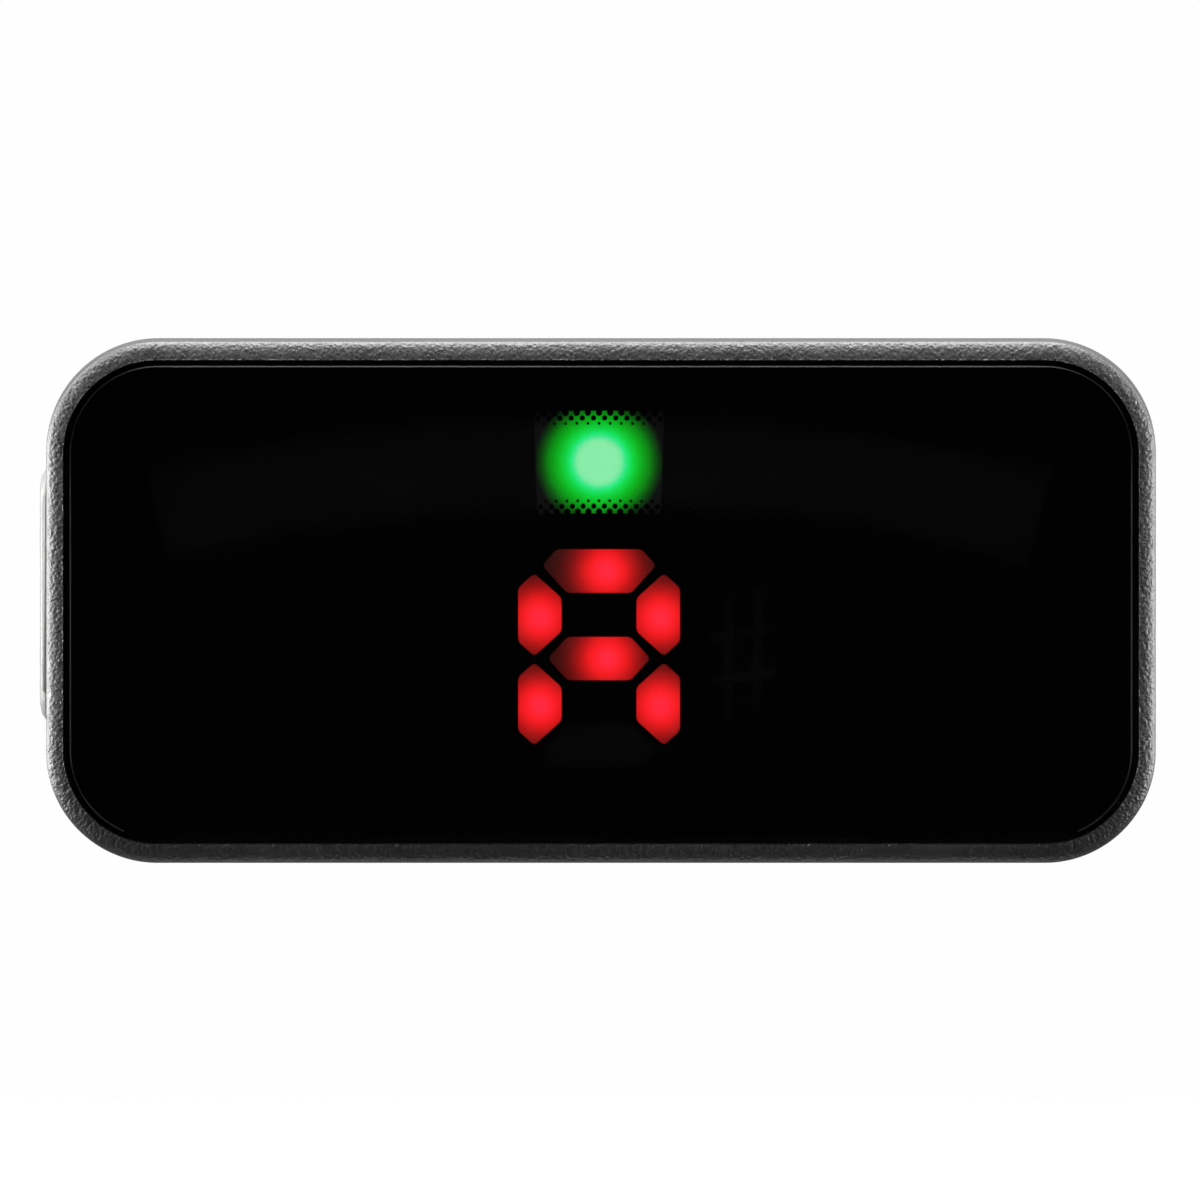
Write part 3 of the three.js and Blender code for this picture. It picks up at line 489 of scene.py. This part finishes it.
def plate(name, loops, front, back):
    """A flat plate between two levels. The first (x, z) loop is its outline, and the rest are holes."""
    triangles = tessellate_polygon([[Vector((x, z, 0)) for x, z in loop] for loop in loops])
    flat = [point for loop in loops for point in loop]
    count = len(flat)
    points = [(x, level, z) for level in (front, back) for x, z in flat]
    faces = [tuple(triangle) for triangle in triangles]
    faces += [tuple(k + count for k in reversed(triangle)) for triangle in triangles]
    start = 0
    for loop in loops:
        for k in range(len(loop)):
            after = start + (k + 1) % len(loop)
            faces.append((start + k, after, after + count, start + k + count))
        start += len(loop)
    return face_out(mesh_object(name, points, faces))


def joined(name, objects):
    """One object that holds the separate solids of several."""
    points, faces = [], []
    for obj in objects:
        start = len(points)
        points += [vertex.co.copy() for vertex in obj.data.vertices]
        faces += [[start + k for k in polygon.vertices] for polygon in obj.data.polygons]
        bpy.data.objects.remove(obj)
    return mesh_object(name, points, faces)


def prism(name, outline, axis, start, end):
    """An outline pushed along an axis. Outlines are (y, z), (x, z) or (x, y) for x, y and z."""
    index = "xyz".index(axis)
    rings = []
    for level in (start, end):
        ring = [list(point) for point in outline]
        for point in ring:
            point.insert(index, level)
        rings.append(ring)
    return loft(name, rings)


def box(x0, x1, y0, y1, z0, z1):
    return prism("cutter", [(x0, y0), (x1, y0), (x1, y1), (x0, y1)], "z", z0, z1)


def rounded_rect(half_u, half_v, corner, per_corner, per_long=1, per_short=1):
    """A rounded rectangle, anticlockwise from the end of its right side."""
    quarter = math.pi / 2
    signs = ((1, 1), (-1, 1), (-1, -1), (1, -1))
    middles = [(su * (half_u - corner), sv * (half_v - corner)) for su, sv in signs]
    points = []
    for k, (u, v) in enumerate(middles):
        for j in range(per_corner):
            angle = (k + j / per_corner) * quarter
            points.append((u + corner * math.cos(angle), v + corner * math.sin(angle)))
        turn = (k + 1) * quarter
        offset = Vector((corner * math.cos(turn), corner * math.sin(turn)))
        pieces = per_long if k % 2 == 0 else per_short
        begin = Vector((u, v)) + offset
        end = Vector(middles[(k + 1) % 4]) + offset
        points += [tuple(begin.lerp(end, j / pieces)) for j in range(pieces)]
    return points


def softened(outline, radius, steps=5):
    """Rounds the corners of a polygon."""
    count = len(outline)
    points = []
    for k in range(count):
        before, here, after = (Vector(outline[(k + j) % count]) for j in (-1, 0, 1))
        start = here + (before - here).normalized() * radius
        end = here + (after - here).normalized() * radius
        for j in range(steps + 1):
            t = j / steps
            points.append(tuple(start.lerp(here, t).lerp(here.lerp(end, t), t)))
    return points


def head_ring(half_w, half_h, level, per_corner=24, per_long=1, per_short=1):
    corner = HEAD_CORNER - (HEAD_HALF_W - half_w)
    outline = rounded_rect(half_w, half_h, corner, per_corner, per_long, per_short)
    return [(x, level, z) for x, z in outline]


# ---------------------------------------------------------------- putting pieces in place


def settle(obj, body, slot, paint=None):
    """Moves a drawn mesh to the frame's place and scale, paints it and lets it ride on a body."""
    obj.data.transform(TO_ROW)
    obj.data.materials.clear()
    obj.data.materials.append((paint or PAINTS[slot]).material)
    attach(obj, body)
    return obj


def stand_for(obj, node, paint=None):
    settle(obj, BODY_OF[node], SLOT_OF[node], paint)
    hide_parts(node)
    return obj


def cad_copy(node):
    """A CAD node's shape as a drawn mesh of its own."""
    source = frame["nodes"][node].data
    points = [TO_DRAWN @ vertex.co for vertex in source.vertices]
    return mesh_object(node + "_fine", points, [polygon.vertices for polygon in source.polygons])


def made_whole(obj):
    """Joins the triangles of each flat face."""

    def clean(bm):
        bmesh.ops.remove_doubles(bm, verts=bm.verts, dist=0.0005)
        limit = math.radians(0.4)
        bmesh.ops.dissolve_limit(bm, angle_limit=limit, verts=bm.verts, edges=bm.edges)

    return edited(obj, clean)


def refined(node, width, segments=3, angle=35.0):
    """A CAD node's shape with its flat faces made whole and its sharp edges rounded."""
    obj = made_whole(cad_copy(node))
    eased(obj, width, segments, angle)
    return weighted(smoothed(obj))


# ---------------------------------------------------------------- front rim


def rim_rings():
    """The closed section of the rim, from the ledge under the window out to the parting line."""
    counts = {
        "per_corner": round(math.pi / 2 * HEAD_CORNER / GRAIN["spacing"]),
        "per_long": round(2 * (HEAD_HALF_W - HEAD_CORNER) / GRAIN["spacing"]),
        "per_short": round(2 * (HEAD_HALF_H - HEAD_CORNER) / GRAIN["spacing"]),
    }
    lip = BEAD["lip"]
    span_w = BEAD["outer_w"] - BEAD["inner_w"] - lip
    span_h = BEAD["outer_h"] - BEAD["inner_h"] - lip
    section = [(BEAD["inner_w"], BEAD["inner_h"], LEDGE["front"])]
    for k in range(4):
        angle = math.pi / 2 * k / 4
        inset = lip * (1 - math.cos(angle))
        section.append((BEAD["inner_w"] + inset, BEAD["inner_h"] + inset, lip * (1 - math.sin(angle))))
    steps = 18
    first = math.radians(BEAD["start"])
    for k in range(steps + 1):
        angle = first + (math.pi / 2 - first) * k / steps
        out = (math.sin(angle) - math.sin(first)) / (1 - math.sin(first))
        level = BEAD["depth"] * (1 - math.cos(angle) / math.cos(first))
        across = (BEAD["inner_w"] + lip + span_w * out, BEAD["inner_h"] + lip + span_h * out)
        section.append((*across, level))
    inner_w = HEAD_HALF_W - WALL
    inner_h = HEAD_HALF_H - WALL
    for share in (0.35, 0.7):
        level = BEAD["depth"] + share * (PARTING - BEAD["depth"])
        flare_w = BEAD["outer_w"] + share * (HEAD_HALF_W - BEAD["outer_w"])
        flare_h = BEAD["outer_h"] + share * (HEAD_HALF_H - BEAD["outer_h"])
        section.append((flare_w, flare_h, level))
    section += [
        (HEAD_HALF_W, HEAD_HALF_H, PARTING - 0.12),
        (HEAD_HALF_W - 0.1, HEAD_HALF_H - 0.1, PARTING),
        (inner_w, inner_h, PARTING),
        (inner_w - 0.1, inner_h - 0.1, LEDGE["back"]),
        (LEDGE["half_w"], LEDGE["half_h"], LEDGE["back"]),
        (LEDGE["half_w"], LEDGE["half_h"], LEDGE["front"]),
    ]
    return [head_ring(*place, **counts) for place in section]


def pebble(place):
    """Height of the moulded grain at a point, from about -1 to 1."""
    spot = place / GRAIN["size"]
    near = noise.voronoi(spot * 0.8)[0]
    dimple = min(near[1] - near[0], 0.5) * 2 - 0.6
    rough = noise.fractal(spot * 1.1, 0.8, 2.1, 3)
    return 0.45 * dimple + 0.75 * rough


def grain_rim(obj):
    """Raises the pebble grain on the rim's bead, fading to a smooth band at its outer edge."""
    vertices = obj.data.vertices
    normals = [vertex.normal.copy() for vertex in vertices]
    for vertex, normal in zip(vertices, normals):
        depth = vertex.co.y
        if depth > BEAD["depth"] + 0.01 or normal.y > 0.3:
            continue
        fade = min(max((BEAD["depth"] - depth) / 0.3, 0.0), 1.0)
        height = GRAIN["height"] * fade * normal.y ** 2
        vertex.co += normal * height * min(pebble(vertex.co) - 0.5, 0.0)


def within(point, half_w, half_h):
    """Whether a point lies inside the head's rounded outline of the given size."""
    corner = HEAD_CORNER - (HEAD_HALF_W - half_w)
    over_x = max(abs(point.x) - (half_w - corner), 0.0)
    over_z = max(abs(point.z) - (half_h - corner), 0.0)
    return math.hypot(over_x, over_z) < corner


def front_rim():
    obj = loft("rim", rim_rings(), joined=True)
    grain_rim(obj)
    half_y = BUTTON["half_depth"] + 0.1
    half_z = BUTTON["half_length"] + 0.1
    outline = rounded_rect(half_y, half_z, 1.5, 12)
    slot = [(BUTTON["y"] + y, BUTTON["z"] + z) for y, z in outline]
    cutter = prism("slot", slot, "x", -HEAD_HALF_W - 1, -HEAD_HALF_W + WALL + 0.5)
    combined(obj, [cutter], "DIFFERENCE")
    smoothed(obj, 50.0)
    # Painted shade: the faces inside the rim's lip, its inner wall and the ledge, take the near black paint of the
    # channel.
    inside = [
        polygon.index
        for polygon in obj.data.polygons
        if within(polygon.center, BEAD["inner_w"] + 0.03, BEAD["inner_h"] + 0.03)
    ]
    # The bead carries painted light, and the channel inside its lip carries painted shade.
    stand_for(obj, "front_bezel", painted_light_rim_paint())
    obj.data.materials.append(recess_painted_shade().material)
    for index in inside:
        obj.data.polygons[index].material_index = 1
    return obj


# ---------------------------------------------------------------- display


def window():
    """The clear front window. Its rounded front edge carries a painted highlight, except along the bottom, which
    is left clear so that it stays dark.
    """
    low, high = drawn_box("display_lens")
    half_w = (high.x - low.x) / 2
    half_h = (high.z - low.z) / 2
    chamfer = 0.065
    section = [(0.35, 0.0), (chamfer, 0.0)]
    section += [(chamfer * (1 - share), chamfer * share) for share in (0.15, 0.5, 0.85, 1.0)]
    rings = [head_ring(half_w - inset, half_h - inset, low.y + drop) for inset, drop in section]
    rings.append(head_ring(half_w, half_h, high.y))
    obj = smoothed(loft("window", rings), 30.0)
    stand_for(obj, "display_lens", clear_paint())
    obj.data.materials.append(edge_highlight_paint().material)
    for polygon in obj.data.polygons:
        centre = TO_DRAWN @ polygon.center
        across = abs(polygon.normal.y) < 0.95
        front = centre.y < low.y + chamfer
        # Painted highlight on the edge's faces; it is left off the bottom edge, as painted shade.
        above = centre.z > low.z + 0.4
        if across and front and above:
            polygon.material_index = 1
    return obj


def meter_centre():
    return drawn_centre("meter_led_4")


def meter_arc(offset, start, end, steps):
    """Points along the meter's arc, at a distance above its middle line."""
    middle = meter_centre()
    radius = METER["radius"] + offset
    points = []
    for k in range(steps + 1):
        angle = (start + (end - start) * k / steps) / METER["radius"]
        x = middle.x + radius * math.sin(angle)
        z = middle.z - METER["radius"] + radius * math.cos(angle)
        points.append((x, z))
    return points


def meter_strip(start, end, steps, inset=0.0):
    half = METER["height"] / 2 - inset
    return meter_arc(half, start, end, steps) + meter_arc(-half, end, start, steps)


def bar_outline(tip_a, tip_b, side_a, side_b):
    """A bevelled bar between two tips; its two long sides stand off by different amounts."""
    start = Vector(tip_a)
    end = Vector(tip_b)
    along = (end - start).normalized()
    across = Vector((-along.y, along.x))
    corners = [
        start,
        start + along * BAR_BEVEL * side_a - across * side_a,
        end - along * BAR_BEVEL * side_a - across * side_a,
        end,
        end - along * BAR_BEVEL * side_b + across * side_b,
        start + along * BAR_BEVEL * side_b + across * side_b,
    ]
    return [tuple(corner) for corner in corners]


def digit_bars():
    """Each bar's outline, about the digit's centre."""
    tip_x, tip_z, side_x = DIGIT["tip_x"], DIGIT["tip_z"], DIGIT["side_x"]
    outer, inner = DIGIT["outer"], DIGIT["inner"]
    middle_x, half = DIGIT_MIDDLE["tip_x"], DIGIT_MIDDLE["half"]
    upper_low, upper_high = DIGIT_UPPER
    lower_low, lower_high = DIGIT_LOWER
    return {
        "top": bar_outline((tip_x, tip_z), (-tip_x, tip_z), outer, inner),
        "bottom": bar_outline((-tip_x, -tip_z), (tip_x, -tip_z), outer, inner),
        "middle": bar_outline((-middle_x, 0), (middle_x, 0), half, half),
        "upper_left": bar_outline((-side_x, upper_high), (-side_x, upper_low), outer, inner),
        "lower_left": bar_outline((-side_x, lower_high), (-side_x, lower_low), outer, inner),
        "upper_right": bar_outline((side_x, upper_low), (side_x, upper_high), outer, inner),
        "lower_right": bar_outline((side_x, lower_low), (side_x, lower_high), outer, inner),
    }


def digit_centre():
    """The digit's middle, from its lamps: the middle bar's row, and the meter's column."""
    return Vector((meter_centre().x, drawn_centre("digit_led_middle").z))


def digit_windows():
    middle = digit_centre()
    return {
        name: [(x + middle.x, z + middle.y) for x, z in softened(outline, 0.22)]
        for name, outline in digit_bars().items()
    }


def sharp_bars():
    """The sharp sign as four bars that cross: two upright, and two slanting up to the right."""
    centre = drawn_centre("sharp_led")
    bar = SHARP["bar"] / 2
    gap = SHARP["half_gap"]
    slant = SHARP["slant"]
    bars = []
    for side in (-1, 1):
        x = centre.x + side * gap
        lift = side * slant * 0.8
        low = centre.z - SHARP["half_h"] + lift
        high = centre.z + SHARP["half_h"] + lift
        bars.append([(x - bar, low), (x + bar, low), (x + bar, high), (x - bar, high)])
    for side in (-1, 1):
        z = centre.z + side * SHARP["row"]
        left = (centre.x - SHARP["half_w"], z - slant)
        right = (centre.x + SHARP["half_w"], z + slant)
        rise = bar * 1.3
        bars.append([
            (left[0], left[1] - rise),
            (right[0], right[1] - rise),
            (right[0], right[1] + rise),
            (left[0], left[1] + rise),
        ])
    return bars


def halftone(front):
    """Rows of printed dots that grow towards the long edges of the meter window."""
    half = METER["pitch"] * METER["count"] / 2
    count = int(half / HALFTONE["pitch"])
    dots = []
    for side in (-1, 1):
        for row, (offset, radius) in enumerate(HALFTONE["rows"]):
            shift = 0.5 * (row % 2)
            for k in range(-count, count):
                at = (k + shift) * HALFTONE["pitch"]
                x, z = meter_arc(side * offset, at, at, 1)[0]
                ring = [(x + radius * math.cos(a), z + radius * math.sin(a)) for a in TWELFTHS]
                dots.append(prism("dot", ring, "y", front, front + 0.02))
    return dots


def mask():
    """The printed film: black, with a hole for each lit or unlit window and the halftone dots."""
    low, high = drawn_box("mask_film")
    half_w = (high.x - low.x) / 2
    half_h = (high.z - low.z) / 2
    corner = HEAD_CORNER - (HEAD_HALF_W - half_w)
    outline = rounded_rect(half_w, half_h, corner, 24)
    strip_half = METER["pitch"] * METER["count"] / 2
    strip = softened(meter_strip(-strip_half, strip_half, 60), 0.05, 1)
    sheet = plate("mask", [outline, strip, *digit_windows().values()], low.y, high.y)
    whole = joined("mask", [sheet, *halftone(low.y)])
    return stand_for(smoothed(face_out(whole), 30.0), "mask_film")


def windows():
    """What shows through the film: one lit meter cell, the lit bars, and the unlit shapes."""
    low, high = drawn_box("mask_film")
    front = low.y + 0.03
    back = high.y - 0.02
    unlit = unlit_paint()
    lit_half = METER["pitch"] / 2
    strip_half = METER["pitch"] * METER["count"] / 2
    middle = meter_centre()
    glow = glow_paint("glow_meter", (middle.x, 0, middle.z), GREEN_GLOW)
    cell = plate("meter_lit", [meter_strip(-lit_half, lit_half, 16)], front, back)
    settle(smoothed(cell), "head", "led_green", glow)
    for name, ends in (("left", (-strip_half, -lit_half)), ("right", (lit_half, strip_half))):
        side = plate("meter_unlit_" + name, [meter_strip(*ends, 30)], front, back)
        settle(smoothed(side), "head", "led_off", unlit)
    for name, outline in digit_windows().items():
        bar = smoothed(plate("digit_" + name, [outline], front, back))
        if name == "bottom":
            settle(bar, "head", "led_off", unlit)
            continue
        lamp = drawn_centre("digit_led_" + name)
        settle(bar, "head", "led_red", glow_paint("glow_" + name, (lamp.x, 0, lamp.z), RED_GLOW))
    marks = [plate("mark", [outline], low.y - 0.008, low.y + 0.01) for outline in sharp_bars()]
    sign = combined(marks[0], marks[1:], "UNION")
    sign.name = "sharp_sign"
    settle(smoothed(sign), "head", "led_off", unlit)


# ---------------------------------------------------------------- grooved pieces


def groove(x, half_width, half_length, level, depth):
    """A cutter for a long trough along Z: narrow at its floor and flared where it meets the surface."""
    rings = []
    for spread, rise in ((0.5, -1.0), (0.8, -0.85), (1.0, -0.45), (1.1, -0.15), (1.35, 0.0), (1.35, 2.0)):
        half_u = half_width * spread
        half_v = half_length + half_u - half_width
        outline = rounded_rect(half_u, half_v, half_u * 0.98, 8)
        rings.append([(x + u, level + rise * depth, v) for u, v in outline])
    return loft("groove", rings)


def slab(node):
    """A rubber pad with rounded edges and a row of grooves in its outer face."""
    sizes = SLABS[node]
    half_length, half_height, thickness = sizes["size"]
    ease = sizes["ease"]
    rings = []
    for inset, drop in ((0.08, thickness), (0.0, thickness - 0.08), *quarter_round(ease)):
        outline = rounded_rect(half_length - inset, half_height - inset, sizes["corner"] - inset, 12)
        rings.append([(x, thickness - drop, z) for x, z in outline])
    obj = loft(node + "_fine", rings)
    count, pitch = SLAB_GROOVE["count"], SLAB_GROOVE["pitch"]
    size = (SLAB_GROOVE["half_width"], half_height - 1.0, thickness, SLAB_GROOVE["depth"])
    cutters = [groove((k - (count - 1) / 2) * pitch, *size) for k in range(count)]
    combined(obj, cutters, "DIFFERENCE")
    turn = Matrix.Rotation(math.radians(sizes["turn"]), 4, "Z")
    place = Matrix.Translation(drawn_centre(node))
    obj.data.transform(place @ turn @ Matrix.Translation((0, -thickness / 2, 0)))
    return stand_for(smoothed(obj, 40.0), node)


def quarter_round(radius, steps=5):
    """Insets and drops from a side wall up to a top face."""
    turns = [math.pi / 2 * k / steps for k in range(steps + 1)]
    return [(radius * (1 - math.cos(turn)), radius * (1 - math.sin(turn))) for turn in turns]


def battery_hatch():
    """The sliding hatch: its thumb grooves are cut afresh, after its edges are rounded."""
    back = drawn_box("battery_hatch")[1].y
    first, pitch, count = HATCH_GROOVE["first"], HATCH_GROOVE["pitch"], HATCH_GROOVE["count"]
    half_length = HATCH_GROOVE["half_length"]
    last = first + pitch * (count - 1)
    obj = cad_copy("battery_hatch")
    filling = box(first - 0.5, last + 0.5, back - 0.5, back, -half_length - 0.2, half_length + 0.2)
    combined(obj, [filling], "UNION")
    made_whole(obj)
    eased(obj, 0.12)
    size = (HATCH_GROOVE["half_width"], half_length, back, HATCH_GROOVE["depth"])
    combined(obj, [groove(first + pitch * k, *size) for k in range(count)], "DIFFERENCE")
    return stand_for(weighted(smoothed(obj)), "battery_hatch")


# ---------------------------------------------------------------- spring


def wire_along(name, path, radius, sides=14):
    """A round wire along a line of points, with rounded ends."""
    count = len(path)
    rings = []
    normal = Vector((0, 0, 1))
    for k, point in enumerate(path):
        along = (path[min(k + 1, count - 1)] - path[max(k - 1, 0)]).normalized()
        normal = (normal - along * normal.dot(along)).normalized()
        other = along.cross(normal)
        size = radius * (0.6 if k in (0, count - 1) else 1.0)
        rings.append([
            point + size * (math.cos(a) * normal + math.sin(a) * other)
            for a in (math.tau * j / sides for j in range(sides))
        ])
    return loft(name, rings)


def spring():
    """The torsion spring: a leg on the frame, the coil round the pin, and a leg on the lever."""
    joint = next(j for j in frame["joints"] if j["name"] == "jaw_open")
    hinge = TO_DRAWN @ Vector(joint["pos_m"])
    frame_back = drawn_box("fixed_pad")[0].y
    jaw_front = drawn_box("moving_pad")[1].y + 0.02
    stand = WIRE["radius"] + 0.06
    half = WIRE["half_length"]
    first = math.radians(WIRE["start"])
    last = math.radians(WIRE["end"]) - math.tau * WIRE["turns"]
    steps = 48 * WIRE["turns"]
    coil = []
    for k in range(steps + 1):
        share = k / steps
        angle = first + (last - first) * share
        x = hinge.x + WIRE["coil"] * math.cos(angle)
        y = hinge.y + WIRE["coil"] * math.sin(angle)
        coil.append(Vector((x, y, half * (2 * share - 1))))
    bend_x = hinge.x - LEVER_REACH * math.tan(LEVER_SLOPE / 2)
    lever_y = jaw_front + (TIP_X - bend_x) * math.tan(LEVER_SLOPE) - stand / math.cos(LEVER_SLOPE)
    foot = Vector((FOOT_X, frame_back + stand - 0.02, -half))
    tip = Vector((TIP_X, lever_y, half))
    leg_in = [foot.lerp(coil[0], j / LEG_STEPS) for j in range(LEG_STEPS)]
    leg_out = [coil[-1].lerp(tip, j / LEG_STEPS) for j in range(1, LEG_STEPS + 1)]
    obj = wire_along("spring", [foot + Vector((0.1, 0, 0)), *leg_in, *coil, *leg_out], WIRE["radius"])
    obj.data.transform(TO_ROW)
    smoothed(obj, 50.0)
    obj.data.materials.append(PAINTS["steel"].material)
    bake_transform(obj)
    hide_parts("torsion_spring")


# ---------------------------------------------------------------- the rest of the object

EASED = {
    "rear_cover": 0.12,
    "power_button": 0.12,
    "neck": 0.25,
    "clip_frame": 0.2,
    "moving_jaw": 0.2,
    "swivel_screw": 0.05,
    "tilt_screw": 0.05,
    "tilt_nut": 0.1,
    "tilt_washer_left": 0.04,
    "tilt_washer_right": 0.04,
    "swivel_washer": 0.04,
    "jaw_pin": 0.05,
    "pin_retainer": 0.04,
    "battery_cell": 0.06,
}
for node, width in EASED.items():
    stand_for(refined(node, width), node)
for k in range(1, 5):
    stand_for(refined(f"case_screw_{k}", 0.05), f"case_screw_{k}")

for node in SLABS:
    slab(node)

battery_hatch()
front_rim()
window()
mask()
windows()
spring()

for name, node in frame["nodes"].items():
    if not node.hide_render:
        node.data.materials.clear()
        node.data.materials.append(PAINTS[SLOT_OF[name]].material)


# ---------------------------------------------------------------- floor, light and camera

# Each soft lamp: its turn anticlockwise from the right and its turn from straight ahead, in degrees,
# and its strength.
LAMPS = (
    (180, 88, 34.0),
    (180, 70, 9.0),
    (180, 115, 12.0),
    (0, 86, 24.0),
    (0, 70, 5.0),
    (0, 112, 5.0),
    (90, 88, 28.0),
    (90, 115, 9.0),
    (135, 86, 22.0),
    (45, 86, 14.0),
    (270, 90, 3.0),
)
LAMP_FADE = (4, 22)
FILL = {"ahead": 0.004, "around": 0.03, "behind": 0.7}
FLOOR = {"radius": 0.5, "drop": 0.028, "sides": 96}


def floor():
    """A pale round floor, well under the object."""
    low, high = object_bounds()
    radius, sides = FLOOR["radius"], FLOOR["sides"]
    centre = (low + high) / 2
    turns = [math.tau * k / sides for k in range(sides)]
    ring = [(radius * math.cos(a), radius * math.sin(a)) for a in turns]
    points = [(centre.x + x, centre.y + y, low.z - FLOOR["drop"]) for x, y in ring]
    obj = mesh_object("floor", points, [range(sides)])
    paint = Paint("floor")
    cloud = paint.noise(0.02, 2.0)
    tint = paint.ramp(cloud, [(0.3, grey(0.29)), (0.7, grey(0.31))])
    paint.set(Base_Color=tint, Roughness=paint.span(cloud, 0.3, 0.7, 0.7, 0.8))
    obj.data.materials.append(paint.material)
    obj.visible_diffuse = False
    obj.visible_glossy = False
    obj.visible_transmission = False
    obj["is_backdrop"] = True


def studio():
    """White to the camera, soft lamps round the head, a broad light behind it and little from ahead."""
    world = bpy.data.worlds.new("studio")
    world.use_nodes = True
    tree = world.node_tree
    tree.nodes.clear()

    def made(kind, *values, **settings):
        node = tree.nodes.new(kind)
        for key, value in settings.items():
            setattr(node, key, value)
        for socket, value in zip(node.inputs, values):
            if isinstance(value, bpy.types.NodeSocket):
                tree.links.new(value, socket)
            else:
                socket.default_value = value
        return node.outputs[0]

    toward = tree.nodes.new("ShaderNodeTexCoord").outputs["Generated"]

    def along(direction, low, high, new_low, new_high):
        """A value that changes smoothly with how far the view points along a direction."""
        dot = tree.nodes.new("ShaderNodeVectorMath")
        dot.operation = "DOT_PRODUCT"
        tree.links.new(toward, dot.inputs[0])
        dot.inputs[1].default_value = Vector(direction).normalized()
        smooth = {"interpolation_type": "SMOOTHSTEP"}
        share = made("ShaderNodeMapRange", dot.outputs["Value"], low, high, 0.0, 1.0, **smooth)
        return made("ShaderNodeMapRange", share, 0.0, 1.0, new_low, new_high)

    front = along((0, 1, 0), -0.97, -0.75, FILL["ahead"], FILL["around"])
    back = along((0, 1, 0), 0.25, 0.85, 0.0, FILL["behind"])
    total = made("ShaderNodeMath", front, back, operation="ADD")
    bright, dark = (math.cos(math.radians(angle)) for angle in LAMP_FADE)
    for turn, spread, strength in LAMPS:
        turn, spread = math.radians(turn), math.radians(spread)
        across = math.sin(spread)
        direction = (math.cos(turn) * across, -math.cos(spread), math.sin(turn) * across)
        lamp = along(direction, dark, bright, 0.0, strength)
        total = made("ShaderNodeMath", total, lamp, operation="ADD")
    light = made("ShaderNodeBackground", grey(1.0), total)
    white = made("ShaderNodeBackground", grey(0.992), 1.0)
    path = tree.nodes.new("ShaderNodeLightPath")
    mixed = made("ShaderNodeMixShader", path.outputs["Is Camera Ray"], light, white)
    out = tree.nodes.new("ShaderNodeOutputWorld")
    tree.links.new(mixed, out.inputs["Surface"])
    bpy.context.scene.world = world


CAMERA = {"distance": 2.0, "elevation": 1.0, "fill": 0.924, "aim_left": 0.05}


def camera():
    """A long lens, level with the display, with the head filling most of the frame's width."""
    data = bpy.data.cameras.new("camera")
    made = bpy.data.objects.new("camera", data)
    bpy.context.scene.collection.objects.link(made)
    tilt = math.radians(CAMERA["elevation"])
    aim = TO_ROW @ Vector((-CAMERA["aim_left"], PARTING, 0))
    back = Vector((0, -math.cos(tilt), math.sin(tilt)))
    made.location = aim + back * CAMERA["distance"]
    made.rotation_mode = "QUATERNION"
    made.rotation_quaternion = (-back).to_track_quat("-Z", "Y")
    width = 2 * HEAD_HALF_W * MM / CAMERA["fill"]
    data.lens = data.sensor_width * CAMERA["distance"] / width
    data.clip_end = 50
    bpy.context.scene.camera = made


floor()
studio()
camera()
bpy.context.scene.view_settings.view_transform = "Standard"
